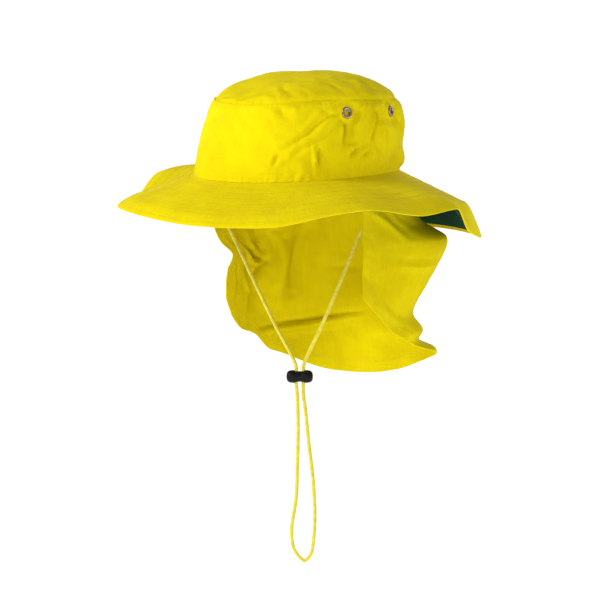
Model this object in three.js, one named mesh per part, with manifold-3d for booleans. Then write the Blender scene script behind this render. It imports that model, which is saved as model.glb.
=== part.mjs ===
// A legionnaire hat: a bucket crown, a soft wavy brim that is dark green below, a neck flap
// that hangs round the sides and the back, and a chin cord with a slider.
// Millimetres, +Z up. The origin is the middle of the head opening, the wearer faces -Y,
// and +X is the wearer's left. An angle round the hat is in degrees from the front, and
// grows towards the wearer's left.
import * as THREE from 'three';
import { mergeVertices } from 'three/addons/utils/BufferGeometryUtils.js';
import Module from 'manifold-3d';

// Driving dimensions
const HEAD_HALF_WIDTH = 83;
const HEAD_HALF_LENGTH = 97;
const TOP_HALF_WIDTH = 75;
const TOP_HALF_LENGTH = 88;
const TOP_SHIFT_LEFT = 4;
const TOP_SHIFT_BACK = 9;
const CROWN_HEIGHT = 64;
const DOME_HEIGHT = 17;
const DOME_POWER = 3.2;
const DOME_LEAN = 0.13;
const CLOTH = 1.2;
const GAP = 0.3;
const CROWN_BULGE = 2.5;

const EYELET_HEIGHT_SHARE = 0.84;
const EYELET_ANGLES = { left_front: 62, left_back: 100, right_front: -68, right_back: -106 };
const EYELET_OUTER_RADIUS = 5.2;
const EYELET_BARREL_RADIUS = 3.4;
const EYELET_HOLE_RADIUS = 2.5;
const EYELET_FLANGE = 1.1;
const FLAT_ROUND_EYELET = 16;

const CORD_DIAMETER = 3.2;
const CORD_ANGLE_LEFT = 92;
const CORD_ANGLE_RIGHT = -79;
const CORD_INSET = 4.2;
const TAB_WIDTH = 8;
const TAB_THICKNESS = 1.6;
const TAB_HEIGHT = 9;
const LOCK_CENTRE = new THREE.Vector3(4, -2, -180);
const LOCK_LENGTH = 23;
const LOCK_LOBE_RADIUS = 5.6;
const LOCK_WAIST_RADIUS = 4.6;
const LOCK_TURN = 32;
const LOCK_BORE_SPACING = 6.4;
const LOCK_BORE_CLEARANCE = 0.35;
const LOOP_BOTTOM = -341;

// The brim's edge, a row for each section round the hat: how far it reaches out from the
// head opening, how far it has fallen there, and the extra drop of its last stretch.
const BRIM_SECTIONS = [
  { angle: 0, reach: 69, fall: 26, lip: 4 },
  { angle: 25, reach: 70, fall: 26, lip: 4 },
  { angle: 42, reach: 71, fall: 19, lip: 2.5 },
  { angle: 57, reach: 71.5, fall: 17, lip: 2 },
  { angle: 76, reach: 70, fall: 24, lip: 4 },
  { angle: 92, reach: 70, fall: 22, lip: 4.5 },
  { angle: 97, reach: 70, fall: 24, lip: 4 },
  { angle: 104, reach: 70, fall: 27, lip: 20 },
  { angle: 116, reach: 71.5, fall: 33, lip: 23 },
  { angle: 130, reach: 71.5, fall: 36, lip: 23 },
  { angle: 150, reach: 60, fall: 36, lip: 22 },
  { angle: 170, reach: 54, fall: 37, lip: 22 },
  { angle: 190, reach: 55, fall: 36, lip: 17 },
  { angle: 210, reach: 60, fall: 31, lip: 10 },
  { angle: 230, reach: 66, fall: 20, lip: 5 },
  { angle: 250, reach: 70, fall: 10, lip: 2 },
  { angle: 265, reach: 70.5, fall: 10.5, lip: 2 },
  { angle: 280, reach: 67, fall: 26, lip: 4 },
  { angle: 300, reach: 67, fall: 25, lip: 3 },
  { angle: 330, reach: 68, fall: 21.5, lip: 4 },
];
const BRIM_LIP_START = 0.8;
const BRIM_LIP_END = 1.15;
const BRIM_INNER_MARGIN = 1.5;
const BRIM_DROP_AT_SEAM = 0.5;

// Heights of the crown's two seams, a row for each section round the hat
const CROWN_SEAMS = [
  { angle: 0, base: -3, top: 60 },
  { angle: 45, base: -1, top: 65 },
  { angle: 90, base: 0, top: 62 },
  { angle: 135, base: -2, top: 58 },
  { angle: 180, base: -1, top: 61 },
  { angle: 225, base: 1, top: 64 },
  { angle: 270, base: -1, top: 64 },
  { angle: 315, base: -3, top: 60 },
];

// Folds in the crown's side, a row each: a valley from one place to another (angle, height
// share), with its depth and half width. A negative depth stands out.
const CROWN_FOLDS = [
  { fromAngle: 54, fromShare: 0.8, toAngle: 30, toShare: 0.24, depth: 3.4, halfWidth: 6 },
  { fromAngle: 68, fromShare: 0.72, toAngle: 67, toShare: 0.42, depth: 2.8, halfWidth: 5 },
  { fromAngle: 104, fromShare: 0.72, toAngle: 92, toShare: 0.3, depth: 3, halfWidth: 6 },
  { fromAngle: 30, fromShare: 0.28, toAngle: 27, toShare: 0.08, depth: 3, halfWidth: 6 },
  { fromAngle: 48, fromShare: 0.3, toAngle: 48, toShare: 0.08, depth: 2.6, halfWidth: 5.5 },
  { fromAngle: 160, fromShare: 0.85, toAngle: 140, toShare: 0.25, depth: 3.5, halfWidth: 8 },
  { fromAngle: 200, fromShare: 0.75, toAngle: 215, toShare: 0.2, depth: 3, halfWidth: 8 },
  { fromAngle: 250, fromShare: 0.75, toAngle: 262, toShare: 0.2, depth: 3, halfWidth: 7 },
  { fromAngle: 290, fromShare: 0.8, toAngle: 300, toShare: 0.3, depth: 2.6, halfWidth: 7 },
  { fromAngle: 122, fromShare: 0.72, toAngle: 112, toShare: 0.6, depth: -2.5, halfWidth: 14 },
  { fromAngle: 124, fromShare: 0.12, toAngle: 112, toShare: 0.1, depth: -3.5, halfWidth: 10 },
];

// Dents pressed into the crown's top, a row each, placed by millimetres from its middle
const TOP_DENTS = [
  { x: 53, y: 12, depth: 3.5, halfWidth: 9 },
  { x: -20, y: -52, depth: 2, halfWidth: 12 },
  { x: -30, y: 30, depth: 3, halfWidth: 18 },
];

// The neck flap, a row for each upright section: its length below the brim, and how far it
// stands out from the head opening at each of the depths
const FLAP_DEPTHS = [0, 40, 56, 90, 118, 134, 143, 152, 175];
const FLAP_SECTIONS = [
  { angle: 77, length: 100, out: [-0.6, -1, -1, -2, -2, -3, -3, -3, -3] },
  { angle: 88, length: 116, out: [-0.6, 2, 3, 1, 0, -1, -1, -1, -1] },
  { angle: 102, length: 132, out: [-0.6, 8, 14, 9, 2, 1, 2, 3, 4] },
  { angle: 118, length: 147, out: [-0.6, 15, 32, 23, 10, 16, 14, 24, 24] },
  { angle: 138, length: 159, out: [-0.6, 18, 41.5, 25, 11, 19, 16, 32, 26] },
  { angle: 158, length: 175, out: [-0.6, 15, 26, 18, 8, 8, 8, 14, 16] },
  { angle: 180, length: 181, out: [-0.6, 10, 13, 10, 4, 3, 3, 3, 3] },
  { angle: 205, length: 178, out: [-0.6, 4, 5, 7, 5, 4, 3, 2, 0] },
  { angle: 226, length: 166, out: [-0.6, -2, -4, -5, -3, 1, 3, 2, 1] },
  { angle: 234, length: 161, out: [-0.6, 0, -1, 0, 1, 3, 2, 1, 0] },
  { angle: 243, length: 148, out: [-0.6, 3, 4, 6, 5, 2, 1, 0, 0] },
  { angle: 257, length: 141, out: [-0.6, -1, -2, 0, 0, 0, -1, -1, -1] },
  { angle: 266, length: 131, out: [-0.6, -2, -4, -3, -3, -3, -3, -3, -3] },
  { angle: 275, length: 111, out: [-0.6, -2, -5, -4, -4, -4, -4, -4, -4] },
];
const FLAP_DROP_AT_SEAM = 6.2;

// How many degrees the flap's front edge on the wearer's right is set back, a row for each depth
const FLAP_EDGE_SET_BACK = [
  { depth: 0, back: 0 },
  { depth: 30, back: 0.5 },
  { depth: 50, back: 2 },
  { depth: 62, back: 7 },
  { depth: 75, back: 16 },
  { depth: 88, back: 12.5 },
  { depth: 105, back: 11.5 },
  { depth: 125, back: 12.5 },
  { depth: 140, back: 15 },
  { depth: 181, back: 15 },
];
const FLAP_SET_BACK_FROM = 226;

// Share of the crown's height, or of its top's width, in which folds and dents fade out
// towards a seam
const FADE_SHARE = 0.125;

// Facets
const COLUMNS = 60;
const SIDE_ROWS = 7;
const TOP_RINGS = 5;
const BRIM_ROWS = 5;
const FLAP_COLUMNS = 34;
const FLAP_ROWS = 20;
const ROUND_SIDES = 12;
const CUTTER_LENGTH = 20;
const CORD_SIDES = 8;
const CORD_STEPS = 78;

const wasm = await Module();
wasm.setup();

const radians = THREE.MathUtils.degToRad;
const UP = new THREE.Vector3(0, 0, 1);
const MEAN_RADIUS = (HEAD_HALF_WIDTH + HEAD_HALF_LENGTH) / 2;

// A smooth curve through the rows' values in one column; period closes it round the hat
function throughRows(rows, key, period = 0) {
  const count = rows.length;
  const at = (i) => {
    if (!period) return rows[Math.min(Math.max(i, 0), count - 1)];
    return rows[((i % count) + count) % count];
  };
  const where = (i) => (period ? at(i).angle + period * Math.floor(i / count) : at(i).angle);
  const tangent = (i) => {
    const span = where(i + 1) - where(i - 1);
    return span ? (key(at(i + 1)) - key(at(i - 1))) / span : 0;
  };
  return (angle) => {
    const first = rows[0].angle;
    const x = period ? first + ((((angle - first) % period) + period) % period) : angle;
    let i = 0;
    const last = period ? count - 1 : count - 2;
    while (i < last && x > where(i + 1)) i += 1;
    const step = where(i + 1) - where(i);
    const t = (x - where(i)) / step;
    const rise = key(at(i + 1)) - key(at(i));
    const a = tangent(i) * step - rise;
    const b = -tangent(i + 1) * step + rise;
    return key(at(i)) + t * rise + t * (1 - t) * (a * (1 - t) + b * t);
  };
}

const seamBase = throughRows(CROWN_SEAMS, (row) => row.base, 360);
const seamTop = throughRows(CROWN_SEAMS, (row) => row.top, 360);
const brimReach = throughRows(BRIM_SECTIONS, (row) => row.reach, 360);
const brimFall = throughRows(BRIM_SECTIONS, (row) => row.fall, 360);
const brimLip = throughRows(BRIM_SECTIONS, (row) => row.lip, 360);
const flapLength = throughRows(FLAP_SECTIONS, (row) => row.length);
const flapOut = FLAP_DEPTHS.map((_, i) => throughRows(FLAP_SECTIONS, (row) => row.out[i]));
const flapSetBack = throughRows(
  FLAP_EDGE_SET_BACK.map(({ depth, back }) => ({ angle: depth, back })), (row) => row.back);

// A point this far out from the head opening's oval, square to it, at a height
function fromOpening(angle, out, z) {
  const s = Math.sin(radians(angle));
  const c = Math.cos(radians(angle));
  const normal = new THREE.Vector2(s / HEAD_HALF_WIDTH, -c / HEAD_HALF_LENGTH).normalize();
  const x = HEAD_HALF_WIDTH * s + normal.x * out;
  const y = -HEAD_HALF_LENGTH * c + normal.y * out;
  return new THREE.Vector3(x, y, z);
}

// Millimetres round the crown from one angle to another, the shorter way
function roundCrown(from, to) {
  const turn = THREE.MathUtils.euclideanModulo(from - to + 180, 360) - 180;
  return radians(turn) * MEAN_RADIUS;
}

// How deep the crown's folds are at a place on its side. They fade out towards both seams,
// and near an eyelet, which holds the cloth flat.
function foldDepth(angle, share) {
  let depth = 0;
  for (const fold of CROWN_FOLDS) {
    const ax = roundCrown(fold.fromAngle, fold.toAngle);
    const ay = (fold.fromShare - fold.toShare) * CROWN_HEIGHT;
    const px = roundCrown(angle, fold.toAngle);
    const py = (share - fold.toShare) * CROWN_HEIGHT;
    const t = THREE.MathUtils.clamp((px * ax + py * ay) / (ax * ax + ay * ay), 0, 1);
    const away = Math.hypot(px - t * ax, py - t * ay) / fold.halfWidth;
    depth += fold.depth * Math.exp(-away * away);
  }
  let held = Math.min(share / FADE_SHARE, (1 - share) / FADE_SHARE, 1);
  for (const eyelet of Object.values(EYELET_ANGLES)) {
    const px = roundCrown(angle, eyelet);
    const py = (share - EYELET_HEIGHT_SHARE) * CROWN_HEIGHT;
    held *= THREE.MathUtils.smoothstep(Math.hypot(px, py), EYELET_OUTER_RADIUS, FLAT_ROUND_EYELET);
  }
  return depth * held;
}

// The crown's side: share runs from the head opening's seam to the top seam
function crownSidePoint(angle, share) {
  const s = Math.sin(radians(angle));
  const c = Math.cos(radians(angle));
  const bulge = CROWN_BULGE * Math.sin(Math.PI * share) - foldDepth(angle, share);
  const halfWidth = THREE.MathUtils.lerp(HEAD_HALF_WIDTH, TOP_HALF_WIDTH, share) + bulge;
  const halfLength = THREE.MathUtils.lerp(HEAD_HALF_LENGTH, TOP_HALF_LENGTH, share) + bulge;
  const z = THREE.MathUtils.lerp(seamBase(angle), seamTop(angle), share);
  return new THREE.Vector3(TOP_SHIFT_LEFT * share + halfWidth * s,
    TOP_SHIFT_BACK * share - halfLength * c, z);
}

// The crown's top: share runs from its middle to its seam
function crownTopPoint(angle, share) {
  const rim = crownSidePoint(angle, 1);
  const x = (rim.x - TOP_SHIFT_LEFT) * share;
  const y = (rim.y - TOP_SHIFT_BACK) * share;
  const lean = 1 + DOME_LEAN * (y / TOP_HALF_LENGTH + x / TOP_HALF_WIDTH);
  let z = THREE.MathUtils.lerp(CROWN_HEIGHT, rim.z, share);
  z += DOME_HEIGHT * lean * (1 - share ** DOME_POWER);
  for (const dent of TOP_DENTS) {
    const away = Math.hypot(x - dent.x, y - dent.y) / dent.halfWidth;
    z -= dent.depth * Math.exp(-away * away) * Math.min(1, (1 - share) / FADE_SHARE);
  }
  return new THREE.Vector3(x + TOP_SHIFT_LEFT, y + TOP_SHIFT_BACK, z + CLOTH + GAP);
}

const LIP_AT_EDGE = THREE.MathUtils.smoothstep(1, BRIM_LIP_START, BRIM_LIP_END);

// The brim's upper face: share runs from the head opening to the edge
function brimPoint(angle, share) {
  const lipShare = THREE.MathUtils.smoothstep(share, BRIM_LIP_START, BRIM_LIP_END) / LIP_AT_EDGE;
  const out = -BRIM_INNER_MARGIN + (brimReach(angle) + BRIM_INNER_MARGIN) * share;
  const down = brimFall(angle) * share + brimLip(angle) * lipShare;
  return fromOpening(angle, out, seamBase(angle) - BRIM_DROP_AT_SEAM - down);
}

// The neck flap's outer face: share runs from the brim to the flap's lower edge
function flapPoint(angle, share) {
  const depth = flapLength(angle) * share;
  const rows = FLAP_DEPTHS.map((at, i) => ({ angle: at, out: flapOut[i](angle) }));
  const out = throughRows(rows, (row) => row.out)(Math.min(depth, FLAP_DEPTHS.at(-1)));
  const edge = FLAP_SECTIONS.at(-1).angle;
  const nearEdge = Math.max(0, (angle - FLAP_SET_BACK_FROM) / (edge - FLAP_SET_BACK_FROM));
  const turned = angle - flapSetBack(depth) * nearEdge ** 2;
  return fromOpening(turned, out, seamBase(turned) - FLAP_DROP_AT_SEAM - depth);
}

// The direction that a surface faces at angle and share. Outward is 1 where the share grows
// upwards on it and -1 where the share grows outwards or downwards.
function facing(point, angle, share, outward) {
  const turn = 0.5;
  const slide = 0.01;
  const lo = Math.max(share - slide, 0);
  const hi = Math.min(share + slide, 1);
  const along = point(angle + turn, share).sub(point(angle - turn, share));
  const down = point(angle, hi).sub(point(angle, lo));
  return along.cross(down).normalize().multiplyScalar(outward);
}

// A cloth wall between two faces set off from one surface. The surface either closes round
// the hat or runs between two angles; a surface that starts at a point has pole set.
function clothWall(point, { from = 0, to = 360, columns, rows, outer, inner, outward, pole = false }) {
  const closed = to - from === 360;
  const positions = [];
  const add = (offset, i, j) => {
    const angle = from + ((to - from) * i) / columns;
    const share = j / rows;
    const normal = pole && j === 0 ? UP.clone() : facing(point, angle, share, outward);
    return point(angle, share).addScaledVector(normal, offset);
  };
  const grid = (offset) => {
    const all = [];
    for (let j = 0; j <= rows; j += 1) {
      const row = [];
      const poleVertex = pole && j === 0 ? add(offset, 0, 0) : null;
      for (let i = 0; i <= columns; i += 1) {
        row.push(poleVertex ?? (closed && i === columns ? row[0] : add(offset, i, j)));
      }
      all.push(row);
    }
    return all;
  };
  const triangle = (a, b, c) => {
    if (a === b || b === c || c === a) return;
    for (const v of outward > 0 ? [a, b, c] : [a, c, b]) positions.push(v.x, v.y, v.z);
  };
  const quad = (a, b, c, d) => {
    triangle(a, b, c);
    triangle(a, c, d);
  };
  const out = grid(outer);
  const back = grid(inner);
  for (let j = 0; j < rows; j += 1) {
    for (let i = 0; i < columns; i += 1) {
      quad(out[j][i], out[j][i + 1], out[j + 1][i + 1], out[j + 1][i]);
      quad(back[j][i], back[j + 1][i], back[j + 1][i + 1], back[j][i + 1]);
    }
  }
  for (let i = 0; i < columns; i += 1) {
    if (!pole) quad(out[0][i + 1], out[0][i], back[0][i], back[0][i + 1]);
    quad(out[rows][i], out[rows][i + 1], back[rows][i + 1], back[rows][i]);
  }
  if (!closed) {
    for (let j = 0; j < rows; j += 1) {
      quad(out[j][0], out[j + 1][0], back[j + 1][0], back[j][0]);
      quad(out[j + 1][columns], out[j][columns], back[j][columns], back[j + 1][columns]);
    }
  }
  const geometry = new THREE.BufferGeometry();
  geometry.setAttribute('position', new THREE.Float32BufferAttribute(positions, 3));
  return geometry;
}

// A closed mesh as a solid that can be cut
function solidOf(geometry) {
  const bare = geometry.clone();
  bare.deleteAttribute('normal');
  bare.deleteAttribute('uv');
  const merged = mergeVertices(bare, 1e-4);
  const triVerts = new Uint32Array(merged.index.array);
  const vertProperties = new Float32Array(merged.attributes.position.array);
  return new wasm.Manifold(new wasm.Mesh({ numProp: 3, vertProperties, triVerts }));
}

function geometryOf(solid) {
  const mesh = solid.getMesh();
  const geometry = new THREE.BufferGeometry();
  geometry.setAttribute('position', new THREE.BufferAttribute(mesh.vertProperties, 3));
  geometry.setIndex(new THREE.BufferAttribute(mesh.triVerts, 1));
  return geometry;
}

const YELLOW = { color: 0xe6d200, roughness: 0.85, metalness: 0 };
const cloth = new THREE.MeshStandardMaterial(YELLOW);
const greenCloth = new THREE.MeshStandardMaterial({ color: 0x0f3a22, roughness: 0.85, metalness: 0 });
const nickel = new THREE.MeshStandardMaterial({ color: 0xc9c4bd, roughness: 0.3, metalness: 1 });
const cordYellow = new THREE.MeshStandardMaterial({ color: 0xeee04a, roughness: 0.8, metalness: 0 });
const black = new THREE.MeshStandardMaterial({ color: 0x101214, roughness: 0.4, metalness: 0 });

const hat = new THREE.Group();

function addPiece(name, geometry, material) {
  const mesh = new THREE.Mesh(geometry, material);
  mesh.name = name;
  hat.add(mesh);
  return mesh;
}

// Where an eyelet sits on the crown's side, and the way that it faces
function eyeletPlace(angle) {
  const centre = crownSidePoint(angle, EYELET_HEIGHT_SHARE);
  const normal = facing(crownSidePoint, angle, EYELET_HEIGHT_SHARE, 1);
  const turn = new THREE.Quaternion().setFromUnitVectors(new THREE.Vector3(0, 1, 0), normal);
  return { centre, turn };
}

function place(geometry, { centre, turn }) {
  return geometry.applyQuaternion(turn).translate(centre.x, centre.y, centre.z);
}

const eyelets = Object.entries(EYELET_ANGLES).map(
  ([where, angle]) => ({ name: `eyelet_${where}`, spot: eyeletPlace(angle) }));

function makeCrown() {
  addPiece('crown_top', clothWall(crownTopPoint,
    { columns: COLUMNS, rows: TOP_RINGS, outer: 0, inner: -CLOTH, outward: -1, pole: true }), cloth);
  const band = clothWall(crownSidePoint,
    { columns: COLUMNS, rows: SIDE_ROWS, outer: 0, inner: -CLOTH, outward: 1 });
  let solid = solidOf(band);
  for (const { spot } of eyelets) {
    const radius = EYELET_BARREL_RADIUS + GAP;
    const hole = new THREE.CylinderGeometry(radius, radius, CUTTER_LENGTH, ROUND_SIDES);
    solid = solid.subtract(solidOf(place(hole, spot)));
  }
  addPiece('crown_side', geometryOf(solid), cloth);
}

// An eyelet's closed profile: a barrel with a flange on each side of the cloth
function makeEyelets() {
  const front = GAP * 3;
  const back = -CLOTH - GAP * 3;
  const profile = [
    [EYELET_HOLE_RADIUS, back - EYELET_FLANGE * 0.6],
    [EYELET_OUTER_RADIUS - 0.6, back - EYELET_FLANGE * 0.6],
    [EYELET_OUTER_RADIUS - 0.3, back],
    [EYELET_BARREL_RADIUS, back],
    [EYELET_BARREL_RADIUS, front],
    [EYELET_OUTER_RADIUS, front],
    [EYELET_OUTER_RADIUS - 0.5, front + EYELET_FLANGE * 0.7],
    [EYELET_OUTER_RADIUS - 1.3, front + EYELET_FLANGE],
    [EYELET_HOLE_RADIUS + 0.4, front + EYELET_FLANGE * 0.6],
    [EYELET_HOLE_RADIUS, front],
    [EYELET_HOLE_RADIUS, back - EYELET_FLANGE * 0.6],
  ].map(([radius, height]) => new THREE.Vector2(radius, height));
  for (const { name, spot } of eyelets) {
    addPiece(name, place(new THREE.LatheGeometry(profile, ROUND_SIDES), spot), nickel);
  }
}

function makeBrim() {
  const facets = { columns: COLUMNS, rows: BRIM_ROWS, outward: -1 };
  addPiece('brim_upper', clothWall(brimPoint, { ...facets, outer: 0, inner: -CLOTH }), cloth);
  addPiece('brim_under', clothWall(brimPoint,
    { ...facets, outer: -CLOTH - GAP, inner: -2 * CLOTH - GAP }), greenCloth);
}

function makeFlap() {
  const from = FLAP_SECTIONS[0].angle;
  const to = FLAP_SECTIONS.at(-1).angle;
  addPiece('neck_flap', clothWall(flapPoint,
    { from, to, columns: FLAP_COLUMNS, rows: FLAP_ROWS, outer: 0, inner: -CLOTH, outward: -1 }), cloth);
}

// The hidden cloth tab that holds one end of the cord
function makeTab(name, angle) {
  const middle = seamBase(angle) - FLAP_DROP_AT_SEAM - TAB_HEIGHT / 2;
  const centre = fromOpening(angle, -CORD_INSET, middle);
  const tab = addPiece(name, new THREE.BoxGeometry(TAB_THICKNESS, TAB_WIDTH, TAB_HEIGHT), cloth);
  tab.position.copy(centre);
  const outward = fromOpening(angle, 1, middle).sub(fromOpening(angle, 0, middle));
  tab.rotation.z = Math.atan2(outward.y, outward.x);
  return centre.setZ(middle - TAB_HEIGHT / 2 - GAP);
}

const lockAcross = new THREE.Vector3(Math.cos(radians(LOCK_TURN)), Math.sin(radians(LOCK_TURN)), 0);

// The cord's route, in order: the wearer's right end, down through the slider, round the
// hanging loop, up through the slider, and to the wearer's left end
function cordRoute(rightEnd, leftEnd) {
  const lockPoint = (side, height) => LOCK_CENTRE.clone()
    .addScaledVector(lockAcross, (side * LOCK_BORE_SPACING) / 2).setZ(LOCK_CENTRE.z + height);
  const hanging = (across, z) => LOCK_CENTRE.clone().addScaledVector(lockAcross, across).setZ(z);
  const between = (a, b, t, sag) => a.clone().lerp(b, t).add(new THREE.Vector3(0, 0, -sag));
  const rightTop = lockPoint(-1, 9);
  const leftTop = lockPoint(1, 9);
  return [
    rightEnd,
    rightEnd.clone().add(new THREE.Vector3(0.8, 0, -6)),
    between(rightEnd, rightTop, 0.25, 2.5),
    between(rightEnd, rightTop, 0.5, 3),
    between(rightEnd, rightTop, 0.75, 2.5),
    rightTop,
    lockPoint(-1, 4),
    lockPoint(-1, -5),
    hanging(-2.2, -196),
    hanging(-1.4, -225),
    hanging(-2, -255),
    hanging(-3, -285),
    hanging(-7, -314),
    hanging(-5, -330),
    hanging(0.5, -338),
    hanging(4.2, LOOP_BOTTOM + 0.5),
    hanging(9.5, -335),
    hanging(12, -322),
    hanging(13, -300),
    hanging(11.5, -270),
    hanging(8, -240),
    hanging(5, -210),
    hanging(3, -194),
    lockPoint(1, -5),
    lockPoint(1, 4),
    leftTop,
    between(leftEnd, leftTop, 0.75, 2.5),
    between(leftEnd, leftTop, 0.5, 3),
    between(leftEnd, leftTop, 0.25, 2.5),
    leftEnd.clone().add(new THREE.Vector3(-0.8, 0, -6)),
    leftEnd,
  ];
}

function makeCord(rightEnd, leftEnd) {
  const section = new THREE.Shape();
  for (let i = 0; i < CORD_SIDES; i += 1) {
    const a = ((i + 0.5) * 2 * Math.PI) / CORD_SIDES;
    const x = (CORD_DIAMETER / 2) * Math.cos(a);
    const y = (CORD_DIAMETER / 2) * Math.sin(a);
    if (i) section.lineTo(x, y);
    else section.moveTo(x, y);
  }
  section.closePath();
  const path = new THREE.CatmullRomCurve3(cordRoute(rightEnd, leftEnd), false, 'centripetal');
  const tube = new THREE.ExtrudeGeometry(section,
    { steps: CORD_STEPS, extrudePath: path, bevelEnabled: false });
  addPiece('chin_cord', tube, cordYellow);
}

// The slider: a two-lobed bead lying across, with two upright bores for the cord
function makeLock() {
  const half = LOCK_LENGTH / 2;
  const profile = [
    [0, -half],
    [LOCK_LOBE_RADIUS * 0.62, -half + 0.5],
    [LOCK_LOBE_RADIUS * 0.94, -half + 3],
    [LOCK_LOBE_RADIUS, -half + 5.5],
    [LOCK_LOBE_RADIUS * 0.93, -half + 8],
    [LOCK_WAIST_RADIUS, 0],
    [LOCK_LOBE_RADIUS * 0.93, half - 8],
    [LOCK_LOBE_RADIUS, half - 5.5],
    [LOCK_LOBE_RADIUS * 0.94, half - 3],
    [LOCK_LOBE_RADIUS * 0.62, half - 0.5],
    [0, half],
  ].map(([radius, height]) => new THREE.Vector2(radius, height));
  const bead = new THREE.LatheGeometry(profile, ROUND_SIDES);
  const turn = new THREE.Quaternion().setFromUnitVectors(new THREE.Vector3(0, 1, 0), lockAcross);
  let solid = solidOf(place(bead, { centre: LOCK_CENTRE, turn }));
  for (const side of [-1, 1]) {
    const radius = CORD_DIAMETER / 2 + LOCK_BORE_CLEARANCE;
    const bore = new THREE.CylinderGeometry(radius, radius, CUTTER_LENGTH, ROUND_SIDES);
    bore.rotateX(Math.PI / 2);
    const at = LOCK_CENTRE.clone().addScaledVector(lockAcross, (side * LOCK_BORE_SPACING) / 2);
    solid = solid.subtract(solidOf(bore.translate(at.x, at.y, at.z)));
  }
  addPiece('cord_lock', geometryOf(solid), black);
}

makeCrown();
makeEyelets();
makeBrim();
makeFlap();
const leftEnd = makeTab('cord_tab_left', CORD_ANGLE_LEFT);
const rightEnd = makeTab('cord_tab_right', CORD_ANGLE_RIGHT);
makeCord(rightEnd, leftEnd);
makeLock();

export default hat;
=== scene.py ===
"""A legionnaire hat of yellow cotton drill: bucket crown, soft wavy brim with a dark green
lower cloth, neck flap, vent eyelets, and a chin cord with a slider.

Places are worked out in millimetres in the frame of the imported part: the origin is the middle
of the head opening, the wearer faces -Y and +X is the wearer's left. An angle round the hat is
in degrees from the front and grows towards the wearer's left. A share runs from 0 to 1: up the
crown's side, and outwards or downwards on the crown's top, the brim and the flap. Meshes are
made in metres."""

import math
from contextlib import contextmanager

import bmesh
import bpy
import numpy as np
from mathutils import Matrix, Vector


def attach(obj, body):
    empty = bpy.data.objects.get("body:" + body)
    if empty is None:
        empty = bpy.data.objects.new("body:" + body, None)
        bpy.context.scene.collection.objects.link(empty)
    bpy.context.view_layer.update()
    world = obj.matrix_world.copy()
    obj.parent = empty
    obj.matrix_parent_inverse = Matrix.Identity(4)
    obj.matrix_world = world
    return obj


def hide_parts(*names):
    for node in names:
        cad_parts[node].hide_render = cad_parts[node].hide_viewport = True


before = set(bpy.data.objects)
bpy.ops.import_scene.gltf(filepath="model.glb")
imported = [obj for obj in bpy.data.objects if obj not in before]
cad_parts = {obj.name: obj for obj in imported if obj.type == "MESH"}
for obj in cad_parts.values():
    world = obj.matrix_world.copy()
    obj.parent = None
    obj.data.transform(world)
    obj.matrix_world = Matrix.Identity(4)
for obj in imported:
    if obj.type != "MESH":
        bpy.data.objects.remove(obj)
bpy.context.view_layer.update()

MM = 0.001

# The hat's driving sizes, as the part has them
HEAD_HALF_WIDTH = 83
HEAD_HALF_LENGTH = 97
TOP_HALF_WIDTH = 75
TOP_HALF_LENGTH = 88
TOP_SHIFT_LEFT = 4
TOP_SHIFT_BACK = 9
TOP_MIDDLE_HEIGHT = 63.5
DOME_HEIGHT = 17
DOME_POWER = 3.2
DOME_LEAN = 0.13
CROWN_BULGE = 2.5
CROWN_HEIGHT = 64
GAP = 0.3

EYELET_HEIGHT_SHARE = 0.84
EYELET_ANGLES = {"left_front": 62, "left_back": 100, "right_front": -68, "right_back": -106}
EYELET_OUTER_RADIUS = 5.2
EYELET_HOLE_RADIUS = 2.5
CLOTH_HOLE_RADIUS = 3.7
FLAT_ROUND_EYELET = 9

CORD_DIAMETER = 3.2
CORD_ANGLE_LEFT = 92
CORD_ANGLE_RIGHT = -79
CORD_INSET = 4.2
TAB_SIZE = (1.6, 8, 9)
LOCK_CENTRE = np.array([4.0, -2.0, -180.0])
LOCK_LENGTH = 23
LOCK_LOBE_RADIUS = 5.6
LOCK_TURN = math.radians(32)
LOCK_BORE_SPACING = 6.4
LOCK_BORE_CLEARANCE = 0.35
LOCK_ACROSS = np.array([math.cos(LOCK_TURN), math.sin(LOCK_TURN), 0])
LOOP_BOTTOM = -341

# Brim sections round the hat: angle, reach out, fall, and the extra drop of the last stretch
BRIM_SECTIONS = np.array([
    (0, 69, 26, 4), (25, 70, 26, 4), (42, 71, 19, 2.5), (57, 71.5, 17, 2), (76, 70, 24, 4),
    (92, 70, 22, 4.5), (97, 70, 24, 4), (104, 70, 27, 20), (116, 71.5, 33, 23),
    (130, 71.5, 36, 23), (150, 60, 36, 22), (170, 54, 37, 22), (190, 55, 36, 17),
    (210, 60, 31, 10), (230, 66, 20, 5), (250, 70, 10, 2), (265, 70.5, 10.5, 2), (280, 67, 26, 4),
    (300, 67, 25, 3), (330, 68, 21.5, 4),
], float)
BRIM_LIP_START = 0.8
BRIM_LIP_END = 1.15
BRIM_INNER_MARGIN = 1.5
BRIM_DROP_AT_SEAM = 0.5

# Crown seam heights round the hat: angle, base, top
CROWN_SEAMS = np.array([
    (0, -3, 60), (45, -1, 65), (90, 0, 62), (135, -2, 58), (180, -1, 61), (225, 1, 64),
    (270, -1, 64), (315, -3, 60),
], float)

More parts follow.
